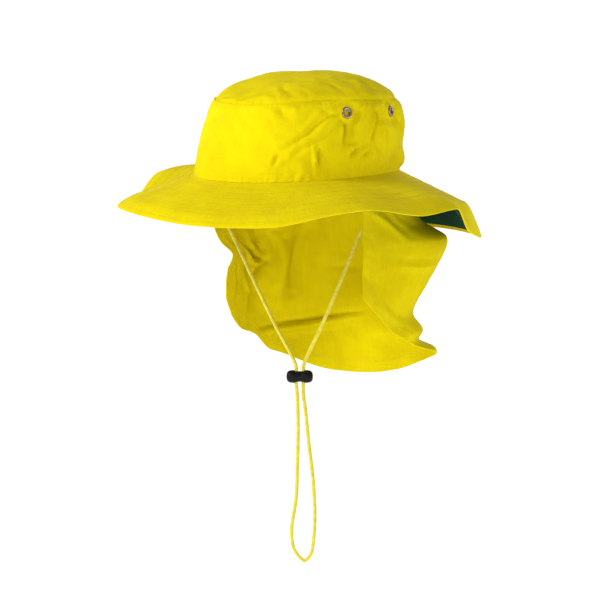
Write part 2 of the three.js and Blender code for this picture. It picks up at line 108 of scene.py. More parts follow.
# Flap sections: angle, length, and how far each stands out at the depths below
FLAP_DEPTHS = np.array([0, 40, 56, 90, 118, 134, 143, 152, 175], float)
FLAP_SECTIONS = np.array([
    (77, 100, -0.6, -1, -1, -2, -2, -3, -3, -3, -3),
    (88, 116, -0.6, 2, 3, 1, 0, -1, -1, -1, -1),
    (102, 132, -0.6, 8, 14, 9, 2, 1, 2, 3, 4),
    (118, 147, -0.6, 15, 32, 23, 10, 16, 14, 24, 24),
    (138, 159, -0.6, 18, 41.5, 25, 11, 19, 16, 32, 26),
    (158, 175, -0.6, 15, 26, 18, 8, 8, 8, 14, 16),
    (180, 181, -0.6, 10, 13, 10, 4, 3, 3, 3, 3),
    (205, 178, -0.6, 4, 5, 7, 5, 4, 3, 2, 0),
    (226, 166, -0.6, -2, -4, -5, -3, 1, 3, 2, 1),
    (234, 161, -0.6, 0, -1, 0, 1, 3, 2, 1, 0),
    (243, 148, -0.6, 3, 4, 6, 5, 2, 1, 0, 0),
    (257, 141, -0.6, -1, -2, 0, 0, 0, -1, -1, -1),
    (266, 131, -0.6, -2, -4, -3, -3, -3, -3, -3, -3),
    (275, 111, -0.6, -2, -5, -4, -4, -4, -4, -4, -4),
], float)
FLAP_DROP_AT_SEAM = 6.2

# How far back the flap's front edge on the wearer's right is set: depth, degrees
FLAP_EDGE_SET_BACK = np.array([
    (0, 0), (30, 0.5), (50, 2), (62, 7), (75, 16), (88, 12.5), (105, 11.5), (125, 12.5), (140, 15),
    (181, 15),
], float)
FLAP_SET_BACK_FROM = 226

# Folds in the crown's side. Each runs through three places, given by angle and height share,
# and has a depth and a half width in mm. A negative depth is a ridge. The last number is the
# share of the depth that stands up beside a valley.
CROWN_FOLDS = (
    (50, 0.84, 38, 0.56, 24, 0.38, 2.0, 3.0, 0.4),
    (45, 0.97, 40, 0.87, 34, 0.66, 1.0, 4.0, 0.3),
    (54, 0.86, 45, 0.60, 31, 0.42, -1.4, 3.0, 0.0),
    (56, 0.70, 46, 0.50, 34, 0.36, 1.3, 2.6, 0.4),
    (34, 0.46, 30, 0.36, 28, 0.26, -1.3, 3.0, 0.0),
    (62, 0.76, 62, 0.62, 61, 0.44, 5.6, 2.4, 0.6),
    (66, 0.98, 67, 0.88, 65, 0.78, 2.6, 2.2, 0.4),
    (77, 0.99, 72, 0.78, 65, 0.40, -3.0, 2.8, 0.4),
    (84, 0.84, 82, 0.68, 80, 0.50, 8.0, 2.1, 0.6),
    (89, 0.74, 91, 0.56, 93, 0.38, 8.0, 2.3, 0.6),
    (108, 0.92, 106, 0.84, 107, 0.74, 3.0, 2.2, 0.3),
    (88, 0.76, 87, 0.62, 87, 0.50, -1.4, 2.4, 0.0),
    (24, 0.36, 23, 0.29, 22, 0.20, 1.8, 2.4, 0.6),
    (46, 0.42, 47, 0.30, 48, 0.14, 4.4, 2.2, 0.7),
    (71, 0.40, 68, 0.32, 65, 0.25, 4.6, 2.6, 0.5),
    (80, 0.36, 77, 0.29, 73, 0.22, 4.2, 2.8, 0.5),
    (93, 0.22, 99, 0.17, 106, 0.18, 1.8, 5.0, 0.3),
    (82, 0.40, 90, 0.30, 98, 0.33, 1.4, 4.0, 0.5),
    (104, 0.34, 112, 0.37, 126, 0.38, 2.4, 5.0, 0.3),
    (122, 0.72, 117, 0.66, 112, 0.60, -2.2, 13.0, 0.0),
    (124, 0.12, 118, 0.11, 112, 0.10, -3.5, 10.0, 0.0),
    (19, 0.99, 22, 0.90, 24, 0.80, 1.3, 3.4, 0.4),
    (27, 0.99, 30, 0.90, 30, 0.78, -1.4, 4.2, 0.0),
    (56, 0.84, 51, 0.80, 46, 0.72, 1.2, 2.2, 0.5),
    (110, 0.74, 113, 0.60, 112, 0.46, 2.0, 2.4, 0.5),
    (134, 0.88, 141, 0.60, 136, 0.30, 2.6, 4.0, 0.4),
    (160, 0.85, 152, 0.55, 140, 0.25, 3.0, 4.6, 0.4),
    (168, 0.60, 174, 0.38, 176, 0.15, 1.8, 3.4, 0.5),
    (200, 0.80, 206, 0.50, 217, 0.22, 2.8, 4.6, 0.4),
    (226, 0.34, 228, 0.22, 229, 0.10, 2.4, 3.0, 0.6),
    (238, 0.72, 236, 0.56, 240, 0.40, 1.8, 2.6, 0.5),
    (250, 0.78, 258, 0.50, 262, 0.22, 2.6, 4.2, 0.4),
    (270, 0.36, 268, 0.24, 266, 0.12, 2.2, 2.8, 0.6),
    (297, 0.76, 298, 0.60, 303, 0.44, 2.0, 2.6, 0.4),
    (297, 0.80, 300, 0.55, 303, 0.30, 1.5, 12.0, 0.0),
    (324, 0.86, 330, 0.80, 334, 0.70, 0.8, 4.0, 0.3),
)

# Dents in the crown's top, in mm from its middle: x, y, depth, half width
TOP_DENTS = ((53, 12, 3.5, 9), (-20, -52, 2, 12), (-30, 30, 3, 18))

# Creases in the crown's top, as above, each placed by x and y in mm
TOP_CREASES = (
    (14, -42, 20, -53, 32, -60, 1.1, 3.4, 0.4),
    (24, -40, 34, -50, 44, -62, -0.9, 5.0, 0.0),
    (6, -58, 14, -60, 24, -70, 0.8, 3.8, 0.4),
    (46, 4, 54, 12, 58, 22, 2.4, 3.4, 0.5),
    (68, -8, 62, 2, 50, 6, -1.4, 4.2, 0.2),
    (40, -30, 50, -24, 60, -26, 1.0, 4.0, 0.4),
    (-50, -50, -40, -54, -26, -62, 1.2, 2.6, 0.6),
    (-30, 40, -10, 50, 12, 52, 1.2, 4.0, 0.4),
    (-46, -4, -40, 12, -30, 26, 1.2, 4.0, 0.4),
    (10, -10, 20, 6, 24, 26, 1.0, 5.0, 0.4),
)

# Creases in the flap. Each runs through three places, given by angle and depth in mm, and has
# a height and a half width in mm. A positive height stands out from the flap's outer face,
# so the wearer's side has a valley there. The last number is as for the crown.
FLAP_FOLDS = (
    (238, 143, 212, 138.5, 178, 127, 4.4, 2.2, 0.6),
    (228, 150, 206, 145, 182, 136, -1.6, 3.2, 0.0),
    (249, 70, 243, 79, 236, 84, 4.6, 2.4, 0.7),
    (235, 84, 239, 90, 242, 100, 4.2, 2.6, 0.7),
    (239, 56, 240, 68, 237, 80, 3.4, 2.6, 0.7),
    (246, 52, 245, 66, 241, 78, -2.6, 3.0, 0.0),
    (232, 60, 231, 72, 230, 86, 2.6, 3.0, 0.5),
    (215, 66, 217, 88, 220, 112, 8.5, 6.5, 0.5),
    (213, 44, 212, 56, 214, 70, 2.6, 7.0, 0.3),
    (80, 24, 92, 36, 104, 54, 2.0, 3.4, 0.4),
    (92, 20, 104, 34, 118, 44, -1.4, 5.0, 0.2),
    (205, 92, 192, 90, 180, 89, 1.0, 3.4, 0.4),
    (98, 74, 110, 77, 124, 76, 1.2, 3.6, 0.4),
    (88, 108, 100, 119, 112, 128, 1.1, 3.4, 0.5),
    (152, 30, 158, 62, 150, 96, 2.4, 6.0, 0.4),
    (172, 40, 168, 84, 174, 122, -2.0, 7.0, 0.2),
    (192, 20, 196, 44, 194, 66, -1.4, 5.0, 0.2),
    (126, 92, 138, 104, 152, 100, -1.8, 4.0, 0.5),
    (262, 84, 258, 100, 262, 116, 2.0, 3.0, 0.4),
    (250, 84, 242, 110, 248, 130, 3.5, 3.5, 0.6),
    (266, 112, 260, 106, 254, 98, -1.2, 2.0, 0.3),
)

# Mesh densities, and coarser ones for the cloth simulation
SIDE_COLUMNS = 540
SIDE_ROWS = 66
SIDE_SIM_COLUMNS = 330
SIDE_SIM_ROWS = 49
TOP_COLUMNS = 400
TOP_RINGS = 76
TOP_INNER = 0.004
TOP_SIM_COLUMNS = 200
TOP_SIM_ROWS = 44
TOP_SIM_INNER = 0.1
BRIM_COLUMNS = 500
BRIM_ROWS = 58
FLAP_COLUMNS = 264
FLAP_ROWS = 132
FLAP_SIM_COLUMNS = 150
FLAP_SIM_ROWS = 80

# How the crown's cloth is worked, in mm, and how far it settles from its drawn form
WALL = 0.9
SEAM_ROLL = 2.2
BASE_TUCK = 1.2
TOPSTITCH_ABOVE_SEAM = 6.0
STITCH_GROOVE = 0.8
SHOULDER_WIDTH = 9
SHOULDER_DEPTH = 2.2
SHOULDER_LESS_AT_FRONT = 1.9
SHOULDER_IN = 0.85
SHOULDER_DOWN = 0.52
SMOOTH_FRONT_ANGLE = -25
SIDE_SETTLES = 1.8
TOP_SETTLES = -0.5
DIMPLE = 1.5
TOP_MEAN_RADIUS = 80

# How the brim and the flap are worked, in mm
UNDER_DROP = 1.55
EDGE_ROW = 5.0
EDGE_ROUNDING = 0.9
ROW_SPACING = 9.5
STITCH_ROWS = 7
BRIM_ROUND = 1.3
HEM = 9.0
FLAP_MEAN_LENGTH = 160

# Stitches: spacing, length and thread radius, in mm
BRIM_STITCH = (3.2, 2.5, 0.24)
UNDER_STITCH = (3.2, 2.5, 0.22)
CROWN_STITCH = (3.0, 2.3, 0.22)

# Unevenness of the cloth: the size of its features in mm, across and down where there are two,
# and a random seed
SIDE_RUMPLE = (17, 3)
SIDE_WRINKLE = (7.5, 11)
SIDE_PATCHES = ((60, 45), 5)
SIDE_START = ((9, 13), 77)
BASE_PUCKER = ((4.2, 16), 21)
SHOULDER_PUCKER = ((4.2, 16), 22)
TOP_RUMPLE = (24, 31)
TOP_WRINKLE = (9, 33)
TOP_PATCHES = ((55, 55), 35)
TOP_START = ((11, 11), 78)
TOP_PUCKER = ((4.2, 14), 41)
BRIM_WAVE = ((46, 60), 51)
BRIM_WRINKLE = (15, 53)
BRIM_TICK = ((5.5, 9), 57)
FLAP_RUMPLE = (30, 61)
FLAP_WRINKLE = (11, 63)
FLAP_START = ((14, 18), 79)

# Cloth simulation
SIM_FRAMES = 20
WEIGHT_STEPS = 50
CLOTH_SETTINGS = {
    "quality": 5, "mass": 0.2, "tension_stiffness": 30, "compression_stiffness": 30,
    "shear_stiffness": 15, "bending_stiffness": 6, "tension_damping": 15,
    "compression_damping": 15, "shear_damping": 15, "bending_damping": 2, "air_damping": 4,
    "vertex_group_mass": "held", "pin_stiffness": 1, "vertex_group_shrink": "tight",
}

# Colours, the share of light that comes through the flap, and the weave's ribs
YELLOW_DARK = (0.60, 0.468, 0.0004)
YELLOW_LIGHT = (0.72, 0.595, 0.0009)
GREEN_DARK = (0.008, 0.035, 0.018)
GREEN_LIGHT = (0.016, 0.065, 0.034)
YELLOW_THREAD = (0.74, 0.61, 0.004)
GREEN_THREAD = (0.02, 0.08, 0.04)
# The nickel's two colours are darker and browner than bare nickel. This is painted shade that stands
# in for the dark seen in the eyelets' holes. Between the two colours, the shade follows a random
# grain.
SHADED_NICKEL_DARK = (0.12, 0.08, 0.05)
SHADED_NICKEL_LIGHT = (0.46, 0.37, 0.28)
PLASTIC_DARK = (0.002, 0.002, 0.003)
PLASTIC_LIGHT = (0.009, 0.009, 0.010)
CORD_DARK = (0.52, 0.43, 0.012)
CORD_LIGHT = (0.64, 0.55, 0.035)
FLAP_GLOW = 0.16
TWILL_PITCH = 0.62
TWILL_TURN = math.radians(63)

# Camera and framing of the photograph
PHOTO_WIDTH = 600
PIXELS_PER_MM = 1.165
VIEW_AZIMUTH = 32
VIEW_ELEVATION = 7
VIEW_DISTANCE = 6.0
ORIGIN_PIXEL = (297, 168)
SENSOR = 36

# Studio. Each light has a place, given by degrees round from the camera, elevation and distance
# in metres, then its size in metres and its power in watts.
FLOOR_HEIGHT = -0.75
FLOOR_SIZE = 120
FLOOR_GREY = 0.95
FLOOR_GLOW = 0.6
AMBIENT = 0.52
LIGHTS = {
    "key_light": (-66, 26, 2.2, 0.8, 38),
    "front_light": (-8, -7, 2.4, 0.9, 11),
    "fill_light": (74, -4, 2.6, 1.2, 10.5),
    "back_light": (165, 10, 2.6, 1.8, 16),
}


# Smooth curves through table rows


def slopes_of(places, values):
    """The slope of a table's values at each of its places."""
    slopes = np.empty_like(values)
    slopes[1:-1] = ((values[2:] - values[:-2]).T / (places[2:] - places[:-2])).T
    slopes[0] = (values[1] - values[0]) / (places[1] - places[0])
    slopes[-1] = (values[-1] - values[-2]) / (places[-1] - places[-2])
    return slopes


def row_before(places, x):
    """The table row before each x, the step to the next one, and the share of it passed."""
    i = np.clip(np.searchsorted(places, x, side="right") - 1, 0, len(places) - 2)
    step = places[i + 1] - places[i]
    return i, step, (x - places[i]) / step


def eased(t, step, low, high, slope_low, slope_high):
    """The smooth curve between two table values, at the share t of the step between them."""
    rise = high - low
    a = slope_low * step - rise
    b = -slope_high * step + rise
    return low + t * rise + t * (1 - t) * (a * (1 - t) + b * t)


def through_rows(angles, values, period=0.0):
    """A function of angle: a smooth curve through the values, closed if period is set."""
    start = angles[0]
    if period:
        angles = np.concatenate([angles[-1:] - period, angles, angles[:2] + period])
        values = np.concatenate([values[-1:], values, values[:2]])
    slopes = slopes_of(angles, values)

    def curve(angle):
        x = np.asarray(angle, float)
        if period:
            x = start + np.mod(x - start, period)
        i, step, t = row_before(angles, x)
        return eased(t, step, values[i], values[i + 1], slopes[i], slopes[i + 1])

    return curve


seam_base, seam_top = [through_rows(CROWN_SEAMS[:, 0], column, 360) for column in CROWN_SEAMS.T[1:]]
brim_reach, brim_fall, brim_lip = [through_rows(BRIM_SECTIONS[:, 0], column, 360)
                                   for column in BRIM_SECTIONS.T[1:]]
flap_length, *flap_out = [through_rows(FLAP_SECTIONS[:, 0], column) for column in FLAP_SECTIONS.T[1:]]
flap_set_back = through_rows(*FLAP_EDGE_SET_BACK.T)


# Noise and folds


def smoothstep(low, high, x):
    t = np.clip((x - low) / (high - low), 0, 1)
    return t * t * (3 - 2 * t)


def bell(x, half_width):
    """1 where x is 0, falling to nearly 0 within twice the half width."""
    return np.exp(-(x / half_width) ** 2)


def noise(x, y, seed):
    """Smooth gradient noise, about -0.7 to 0.7, on a unit lattice."""
    lattice = 64
    table = np.random.default_rng(seed).random((lattice, lattice)) * 2 * math.pi
    xi = np.floor(x).astype(int)
    yi = np.floor(y).astype(int)
    xf = x - xi
    yf = y - yi

    def corner(dx, dy):
        a = table[(xi + dx) % lattice, (yi + dy) % lattice]
        return np.cos(a) * (xf - dx) + np.sin(a) * (yf - dy)

    u = xf * xf * xf * (xf * (xf * 6 - 15) + 10)
    v = yf * yf * yf * (yf * (yf * 6 - 15) + 10)
    low = corner(0, 0) * (1 - u) + corner(1, 0) * u
    high = corner(0, 1) * (1 - u) + corner(1, 1) * u
    return low * (1 - v) + high * v


def ripple(x, y, sizes, seed):
    """Noise with features of two sizes in mm, one along x and one along y."""
    return noise(x / sizes[0], y / sizes[1], seed)


def crumple(x, y, size, seed):
    """Soft creases of crumpled cloth, about -1 to 1, with features of a size in mm."""
    warp_x = noise(x / size / 1.7, y / size / 1.7, seed + 1) * 0.9
    warp_y = noise(x / size / 1.7 + 9, y / size / 1.7, seed + 2) * 0.9
    ridge = 1 - 3 * np.abs(noise(x / size + warp_x, y / size + warp_y, seed))
    return 0.6 * ridge + 0.6 * noise(x / size * 2.1, y / size * 2.1, seed + 3)


def closed_round(pattern, x, y, around, blend_from, *shape):
    """A pattern round a closed piece, blended into its own start over the last stretch."""
    blend = smoothstep(blend_from, 1.0, x / around)
    return pattern(x, y, *shape) * (1 - blend) + pattern(x - around, y, *shape) * blend


def fold_profile(x, y, places, half_width, ridge):
    """One fold over a sheet, along a line of three places: a valley of depth 1 that fades
    towards both ends, with a ridge beside it."""
    spans = [math.dist(a, b) for a, b in zip(places, places[1:])]
    best = np.full(np.shape(x), np.inf)
    aside = np.zeros(np.shape(x))
    along = np.zeros(np.shape(x))
    before = 0.0
    for (ax, ay), (bx, by), span in zip(places, places[1:], spans):
        dx = (bx - ax) / span
        dy = (by - ay) / span
        t = np.clip((x - ax) * dx + (y - ay) * dy, 0, span)
        away = np.hypot(x - ax - dx * t, y - ay - dy * t)
        nearer = away < best
        best = np.where(nearer, away, best)
        aside = np.where(nearer, (x - ax) * dy - (y - ay) * dx, aside)
        along = np.where(nearer, before + t, along)
        before += span
    fade = np.sin(np.pi * np.clip(along / before, 0.04, 0.96)) ** 0.6
    valley = np.exp(-(best / half_width) ** 1.6)
    shoulder = np.exp(-((aside - 1.9 * half_width) / half_width) ** 2 - (best / half_width / 3) ** 4)
    return (valley - ridge * shoulder) * fade


def all_folds(folds, x, y, place, around=0.0):
    """How deep the folds of a table are over a sheet, in mm. place turns a place in the table
    into one on the sheet. Where the sheet is closed, around is its length."""
    depth = np.zeros_like(x)
    for *places, deep, half_width, ridge in folds:
        line = [place(a, b) for a, b in zip(places[0::2], places[1::2])]
        middle = line[1][0]
        near = middle + np.mod(x - middle + around / 2, around) - around / 2 if around else x
        depth = depth + deep * fold_profile(near, y, line, half_width, ridge)
    return depth


# Surfaces of the cloth, in millimetres


def from_opening(angle, out, z):
    """Points this far out from the head opening's oval, square to it."""
    s = np.sin(np.radians(angle))
    c = np.cos(np.radians(angle))
    nx = s / HEAD_HALF_WIDTH
    ny = -c / HEAD_HALF_LENGTH
    size = np.hypot(nx, ny)
    x = HEAD_HALF_WIDTH * s + nx / size * out
    y = -HEAD_HALF_LENGTH * c + ny / size * out
    return np.stack(np.broadcast_arrays(x, y, z), -1)


def round_opening(angle):
    """Millimetres round the crown for an angle, taking the oval as a circle of its mean size."""
    return np.radians(angle) * HEAD_HALF_LENGTH * 0.9


AROUND = round_opening(360.0)


def crown_side(angle, share):
    s = np.sin(np.radians(angle))
    c = np.cos(np.radians(angle))
    bulge = CROWN_BULGE * np.sin(np.pi * share)
    half_width = HEAD_HALF_WIDTH + (TOP_HALF_WIDTH - HEAD_HALF_WIDTH) * share + bulge
    half_length = HEAD_HALF_LENGTH + (TOP_HALF_LENGTH - HEAD_HALF_LENGTH) * share + bulge
    z = seam_base(angle) + (seam_top(angle) - seam_base(angle)) * share
    return np.stack([TOP_SHIFT_LEFT * share + half_width * s,
                     TOP_SHIFT_BACK * share - half_length * c, z], -1)


def crown_top(angle, share):
    rim = crown_side(angle, np.ones_like(share))
    x = (rim[..., 0] - TOP_SHIFT_LEFT) * share
    y = (rim[..., 1] - TOP_SHIFT_BACK) * share
    lean = 1 + DOME_LEAN * (y / TOP_HALF_LENGTH + x / TOP_HALF_WIDTH)
    z = rim[..., 2] * share + TOP_MIDDLE_HEIGHT * (1 - share)
    z = z + DOME_HEIGHT * lean * (1 - share ** DOME_POWER)
    for dent_x, dent_y, depth, half_width in TOP_DENTS:
        away = np.hypot(x - dent_x, y - dent_y)
        z = z - depth * bell(away, half_width) * np.minimum(1, (1 - share) * 6)
    return np.stack([x + TOP_SHIFT_LEFT, y + TOP_SHIFT_BACK, z], -1)


def brim(angle, share):
    lip = smoothstep(BRIM_LIP_START, BRIM_LIP_END, share)
    lip = lip / smoothstep(BRIM_LIP_START, BRIM_LIP_END, 1.0)
    out = -BRIM_INNER_MARGIN + (brim_reach(angle) + BRIM_INNER_MARGIN) * share
    down = brim_fall(angle) * share + brim_lip(angle) * lip
    return from_opening(angle, out, seam_base(angle) - BRIM_DROP_AT_SEAM - down)


def flap(angle, share):
    depth = flap_length(angle) * share
    outs = np.stack([row(angle) for row in flap_out])
    slopes = slopes_of(FLAP_DEPTHS, outs)
    i, step, t = row_before(FLAP_DEPTHS, np.clip(depth, 0, FLAP_DEPTHS[-1]))
    ends = [np.take_along_axis(table, k[None], 0)[0] for table in (outs, slopes) for k in (i, i + 1)]
    out = eased(t, step, *ends)
    near_edge = (angle - FLAP_SET_BACK_FROM) / (FLAP_SECTIONS[-1, 0] - FLAP_SET_BACK_FROM)
    turned = angle - flap_set_back(depth) * np.maximum(0, near_edge) ** 2
    return from_opening(turned, out, seam_base(turned) - FLAP_DROP_AT_SEAM - depth)


def grid_of(angles, shares):
    """Angles and shares at every point of a grid, with a row for each share."""
    return np.meshgrid(angles, shares)


def all_round(columns):
    """The angles of a closed grid's columns."""
    return np.arange(columns) * 360 / columns


def normals_of(points, closed):
    """Unit normals of a grid of points, rows by columns."""
    if closed:
        along = np.roll(points, -1, 1) - np.roll(points, 1, 1)
    else:
        along = np.gradient(points, axis=1)
    normal = np.cross(along, np.gradient(points, axis=0))
    return normal / np.maximum(np.linalg.norm(normal, axis=-1, keepdims=True), 1e-9)


def reach_along(path):
    """The length of a path up to each of its points."""
    return np.concatenate([[0], np.cumsum(np.linalg.norm(np.diff(path, axis=0), axis=1))])


# Mesh making


@contextmanager
def editing(mesh):
    """The mesh's points, edges and faces for editing, written back at the end."""
    bm = bmesh.new()
    bm.from_mesh(mesh)
    yield bm
    bm.to_mesh(mesh)
    bm.free()


def close_ends(mesh):
    """Fills the open ends of a tube and turns its faces outwards."""
    with editing(mesh) as bm:
        bmesh.ops.holes_fill(bm, edges=[e for e in bm.edges if e.is_boundary], sides=0)
        bmesh.ops.recalc_face_normals(bm, faces=bm.faces)


def drop_loose(mesh):
    """Deletes the points that no face uses."""
    with editing(mesh) as bm:
        bmesh.ops.delete(bm, geom=[v for v in bm.verts if not v.link_faces], context="VERTS")


def shade_smooth(mesh):
    mesh.polygons.foreach_set("use_smooth", [True] * len(mesh.polygons))


def new_object(name, mesh):
    """Puts a mesh in the scene, shaded smooth."""
    shade_smooth(mesh)
    obj = bpy.data.objects.new(name, mesh)
    bpy.context.collection.objects.link(obj)
    return obj


def write_uv(mesh, x, y, around=0.0):
    """Gives a mesh a UV map in metres, from a flat place in mm for each vertex. Where the faces
    close a ring of this length, the last ones reach on past it instead of back to the start."""
    layer = mesh.uv_layers.new(name="cloth")
    corner = np.empty(len(mesh.loops), int)
    mesh.loops.foreach_get("vertex_index", corner)
    uv = np.stack([x.ravel(), y.ravel()], -1)[corner]
    if around:
        across = uv.reshape(-1, 4, 2)[..., 0]
        wraps = across.max(1) - across.min(1) > around / 2
        across += (wraps[:, None] & (across < around / 2)) * around
    layer.data.foreach_set("uv", (uv.ravel() * MM).astype(np.float32))


def grid_object(name, points, closed=False, keep=None, flat=None, flip=False):
    """A sheet of quads through a grid of points in mm, rows by columns. flat is the sheet laid
    flat, as x and y in mm, for its UV map, and keep says which of the quads stay."""
    rows, columns = points.shape[:2]
    index = np.arange(rows * columns).reshape(rows, columns)
    right = np.roll(index, -1, 1) if closed else index[:, 1:]
    left = index if closed else index[:, :-1]
    quads = np.stack([left[:-1], right[:-1], right[1:], left[1:]], -1).reshape(-1, 4)
    if flip:
        quads = quads[:, ::-1]
    if keep is not None:
        quads = quads[keep.reshape(-1)]
    mesh = bpy.data.meshes.new(name)
    mesh.from_pydata((points.reshape(-1, 3) * MM).tolist(), [], quads.tolist())
    if flat:
        x, y = flat
        write_uv(mesh, x, y, x.max() + x[0, 1] - x[0, 0] if closed else 0.0)
    if keep is not None:
        drop_loose(mesh)
    return new_object(name, mesh)


def turned_points(radii, heights, sides):
    """A grid of points in mm: circles round Z of these radii at these heights."""
    turn = np.linspace(0, 2 * math.pi, sides, endpoint=False)
    return np.stack([radii[:, None] * np.cos(turn), radii[:, None] * np.sin(turn),
                     heights[:, None] + 0 * turn], -1)


def fill_middle(mesh):
    """Closes the small hole at the middle of a disc, whose edges are shorter than the rim's."""
    with editing(mesh) as bm:
        ring = [e for e in bm.edges if e.is_boundary and e.calc_length() < 0.4 * MM]
        bmesh.ops.holes_fill(bm, edges=ring, sides=0)


def apply_modifiers(obj):
    graph = bpy.context.evaluated_depsgraph_get()
    mesh = bpy.data.meshes.new_from_object(obj.evaluated_get(graph))
    old = obj.data
    obj.modifiers.clear()
    obj.data = mesh
    bpy.data.meshes.remove(old)
    shade_smooth(mesh)


def thicken(obj):
    """Gives a sheet its wall, inwards from its face, with crisp cut edges."""
    modifier = obj.modifiers.new("wall", "SOLIDIFY")
    modifier.thickness = WALL * MM
    modifier.offset = -1
    modifier.use_even_offset = False
    apply_modifiers(obj)
    obj.data.set_sharp_from_angle(angle=math.radians(55))


def cloth_piece(cad_node, points, flat, material, slot, **form):
    """A walled piece of cloth, which stands for its CAD node."""
    obj = grid_object(f"{cad_node}_cloth", points, flat=flat, **form)
    thicken(obj)
    return settle(obj, material, slot, cad_node)


# A stitch is a thread of rings. Each ring has a place from end to end, a share of the thread's
# radius, and a height above the cloth in radii: the ends dive into it.
STITCH_RINGS = np.array([-1.0, -0.72, -0.25, 0.25, 0.72, 1.0])
STITCH_FATNESS = np.array([0.35, 0.85, 1.0, 1.0, 0.85, 0.35])
STITCH_LIFT = np.array([-0.9, 0.05, 0.55, 0.55, 0.05, -0.9])
STITCH_SIDES = 6


def stitch_faces(count):
    """The faces of this many stitches, each a closed tube."""
    sides = range(STITCH_SIDES)
    each = len(STITCH_RINGS) * STITCH_SIDES
    one = []
    for ring in range(0, each - STITCH_SIDES, STITCH_SIDES):
        for s in sides:
            n = (s + 1) % STITCH_SIDES
            one.append((ring + s, ring + n, ring + STITCH_SIDES + n, ring + STITCH_SIDES + s))
    one += [tuple(reversed(sides)), tuple(range(each - STITCH_SIDES, each))]
    return [tuple(base + v for v in face) for base in range(0, count * each, each) for face in one]


def sewn(name, path, normal, stitch):
    """A row of stitches along a path in mm: each is a short bowed thread lying on the cloth."""
    spacing, length, radius = stitch
    reach = reach_along(path)
    count = int(reach[-1] // spacing)
    at = (np.arange(count) + 0.5) * spacing
    along = at[:, None] + STITCH_RINGS * length / 2
    centre = np.stack([np.interp(along, reach, path[:, k]) for k in range(3)], -1)
    up = np.stack([np.interp(along, reach, normal[:, k]) for k in range(3)], -1)
    up /= np.linalg.norm(up, axis=-1, keepdims=True)
    side = np.cross(np.broadcast_to(centre[:, -1:] - centre[:, :1], up.shape), up)
    side /= np.linalg.norm(side, axis=-1, keepdims=True)
    turn = np.linspace(0, 2 * math.pi, STITCH_SIDES, endpoint=False)[:, None]
    middle = centre + up * (STITCH_LIFT * radius)[:, None]
    ring = np.cos(turn) * side[:, :, None] + np.sin(turn) * up[:, :, None]
    points = middle[:, :, None] + radius * STITCH_FATNESS[:, None, None] * ring
    mesh = bpy.data.meshes.new(name)
    mesh.from_pydata((points.reshape(-1, 3) * MM).tolist(), [], stitch_faces(count))
    return new_object(name, mesh)


def join(objects, name):
    """Joins meshes into the first one and names it."""
    first, *others = objects
    with editing(first.data) as bm:
        for obj in others:
            bm.from_mesh(obj.data)
            bpy.data.objects.remove(obj)
    first.name = name
    shade_smooth(first.data)
    return first


# Slack cloth, settled by a simulation


def weigh(obj, name, weights):
    """Gives a mesh a vertex group with these weights, in even steps."""
    group = obj.vertex_groups.new(name=name)
    steps = np.round(weights.reshape(-1) * WEIGHT_STEPS).astype(int)
    for step in np.unique(steps[steps > 0]):
        group.add(np.where(steps == step)[0].tolist(), step / WEIGHT_STEPS, "REPLACE")


def buckled(name, points, held, slack, most_slack, closed=False):
    """How far each point of a grid moves when the cloth there, cut a little larger than its
    place, buckles. It is held at the seams, where held is 1. most_slack is the extra length
    as a share, and slack says how much of it each place has, 0 to 1. The result is in mm."""
    obj = grid_object(name, points, closed=closed)
    weigh(obj, "held", held)
    weigh(obj, "tight", 1 - slack)
    modifier = obj.modifiers.new("cloth", "CLOTH")
    cloth = modifier.settings
    for key, value in CLOTH_SETTINGS.items():
        setattr(cloth, key, value)
    cloth.shrink_max = 0
    cloth.shrink_min = -most_slack
    cloth.effector_weights.gravity = 0
    modifier.collision_settings.use_collision = False
    modifier.point_cache.frame_start = 1
    modifier.point_cache.frame_end = SIM_FRAMES
    for step in range(1, SIM_FRAMES + 1):
        bpy.context.scene.frame_set(step)
    mesh = obj.evaluated_get(bpy.context.evaluated_depsgraph_get()).to_mesh()
    settled = np.empty(points.size)
    mesh.vertices.foreach_get("co", settled)
    bpy.data.objects.remove(obj)
    bpy.context.scene.frame_set(1)
    return settled.reshape(points.shape) / MM - points


def spline_weights(at, count, closed):
    """The four neighbours of each fractional index, and their cubic B-spline weights."""
    first = np.floor(at).astype(int)
    t = at - first
    taps = first + np.arange(-1, 3)[:, None]
    taps = taps % count if closed else np.clip(taps, 0, count - 1)
    weights = np.stack([(1 - t) ** 3, 3 * t ** 3 - 6 * t ** 2 + 4,
                        -3 * t ** 3 + 3 * t ** 2 + 3 * t + 1, t ** 3]) / 6
    return taps, weights


def finer(grid, rows, columns, closed=False):
    """A coarse grid's values at a finer one's rows and columns, smoothly between its points."""
    at_row = np.linspace(0, grid.shape[0] - 1, rows)
    if closed:
        at_column = np.arange(columns) * grid.shape[1] / columns
    else:
        at_column = np.linspace(0, grid.shape[1] - 1, columns)
    taps, weights = spline_weights(at_row, grid.shape[0], False)
    tall = np.einsum("tr,trcx->rcx", weights, grid[taps])
    taps, weights = spline_weights(at_column, grid.shape[1], closed)
    return np.einsum("tc,rtcx->rcx", weights, tall[:, taps])


# Materials


def node(tree, kind, **values):
    """A shader node with these socket values and settings."""
    made = tree.nodes.new(kind)
    for key, value in values.items():
        if key in made.inputs:
            made.inputs[key].default_value = value
        else:
            setattr(made, key, value)
    return made


def principled(name):
    material = bpy.data.materials.new(name)
    material.use_nodes = True
    tree = material.node_tree
    return material, tree, tree.nodes["Principled BSDF"]


def through(tree, kind, source, socket, **values):
    """A node of this kind, fed from a source socket."""
    made = node(tree, kind, **values)
    tree.links.new(source, made.inputs[socket])
    return made


def speckle(tree, place, scale, detail, roughness=0.5):
    """Noise over a surface, 0 to 1."""
    made = through(tree, "ShaderNodeTexNoise", place, "Vector", Scale=scale, Detail=detail,
                   Roughness=roughness)
    return made.outputs["Fac"]


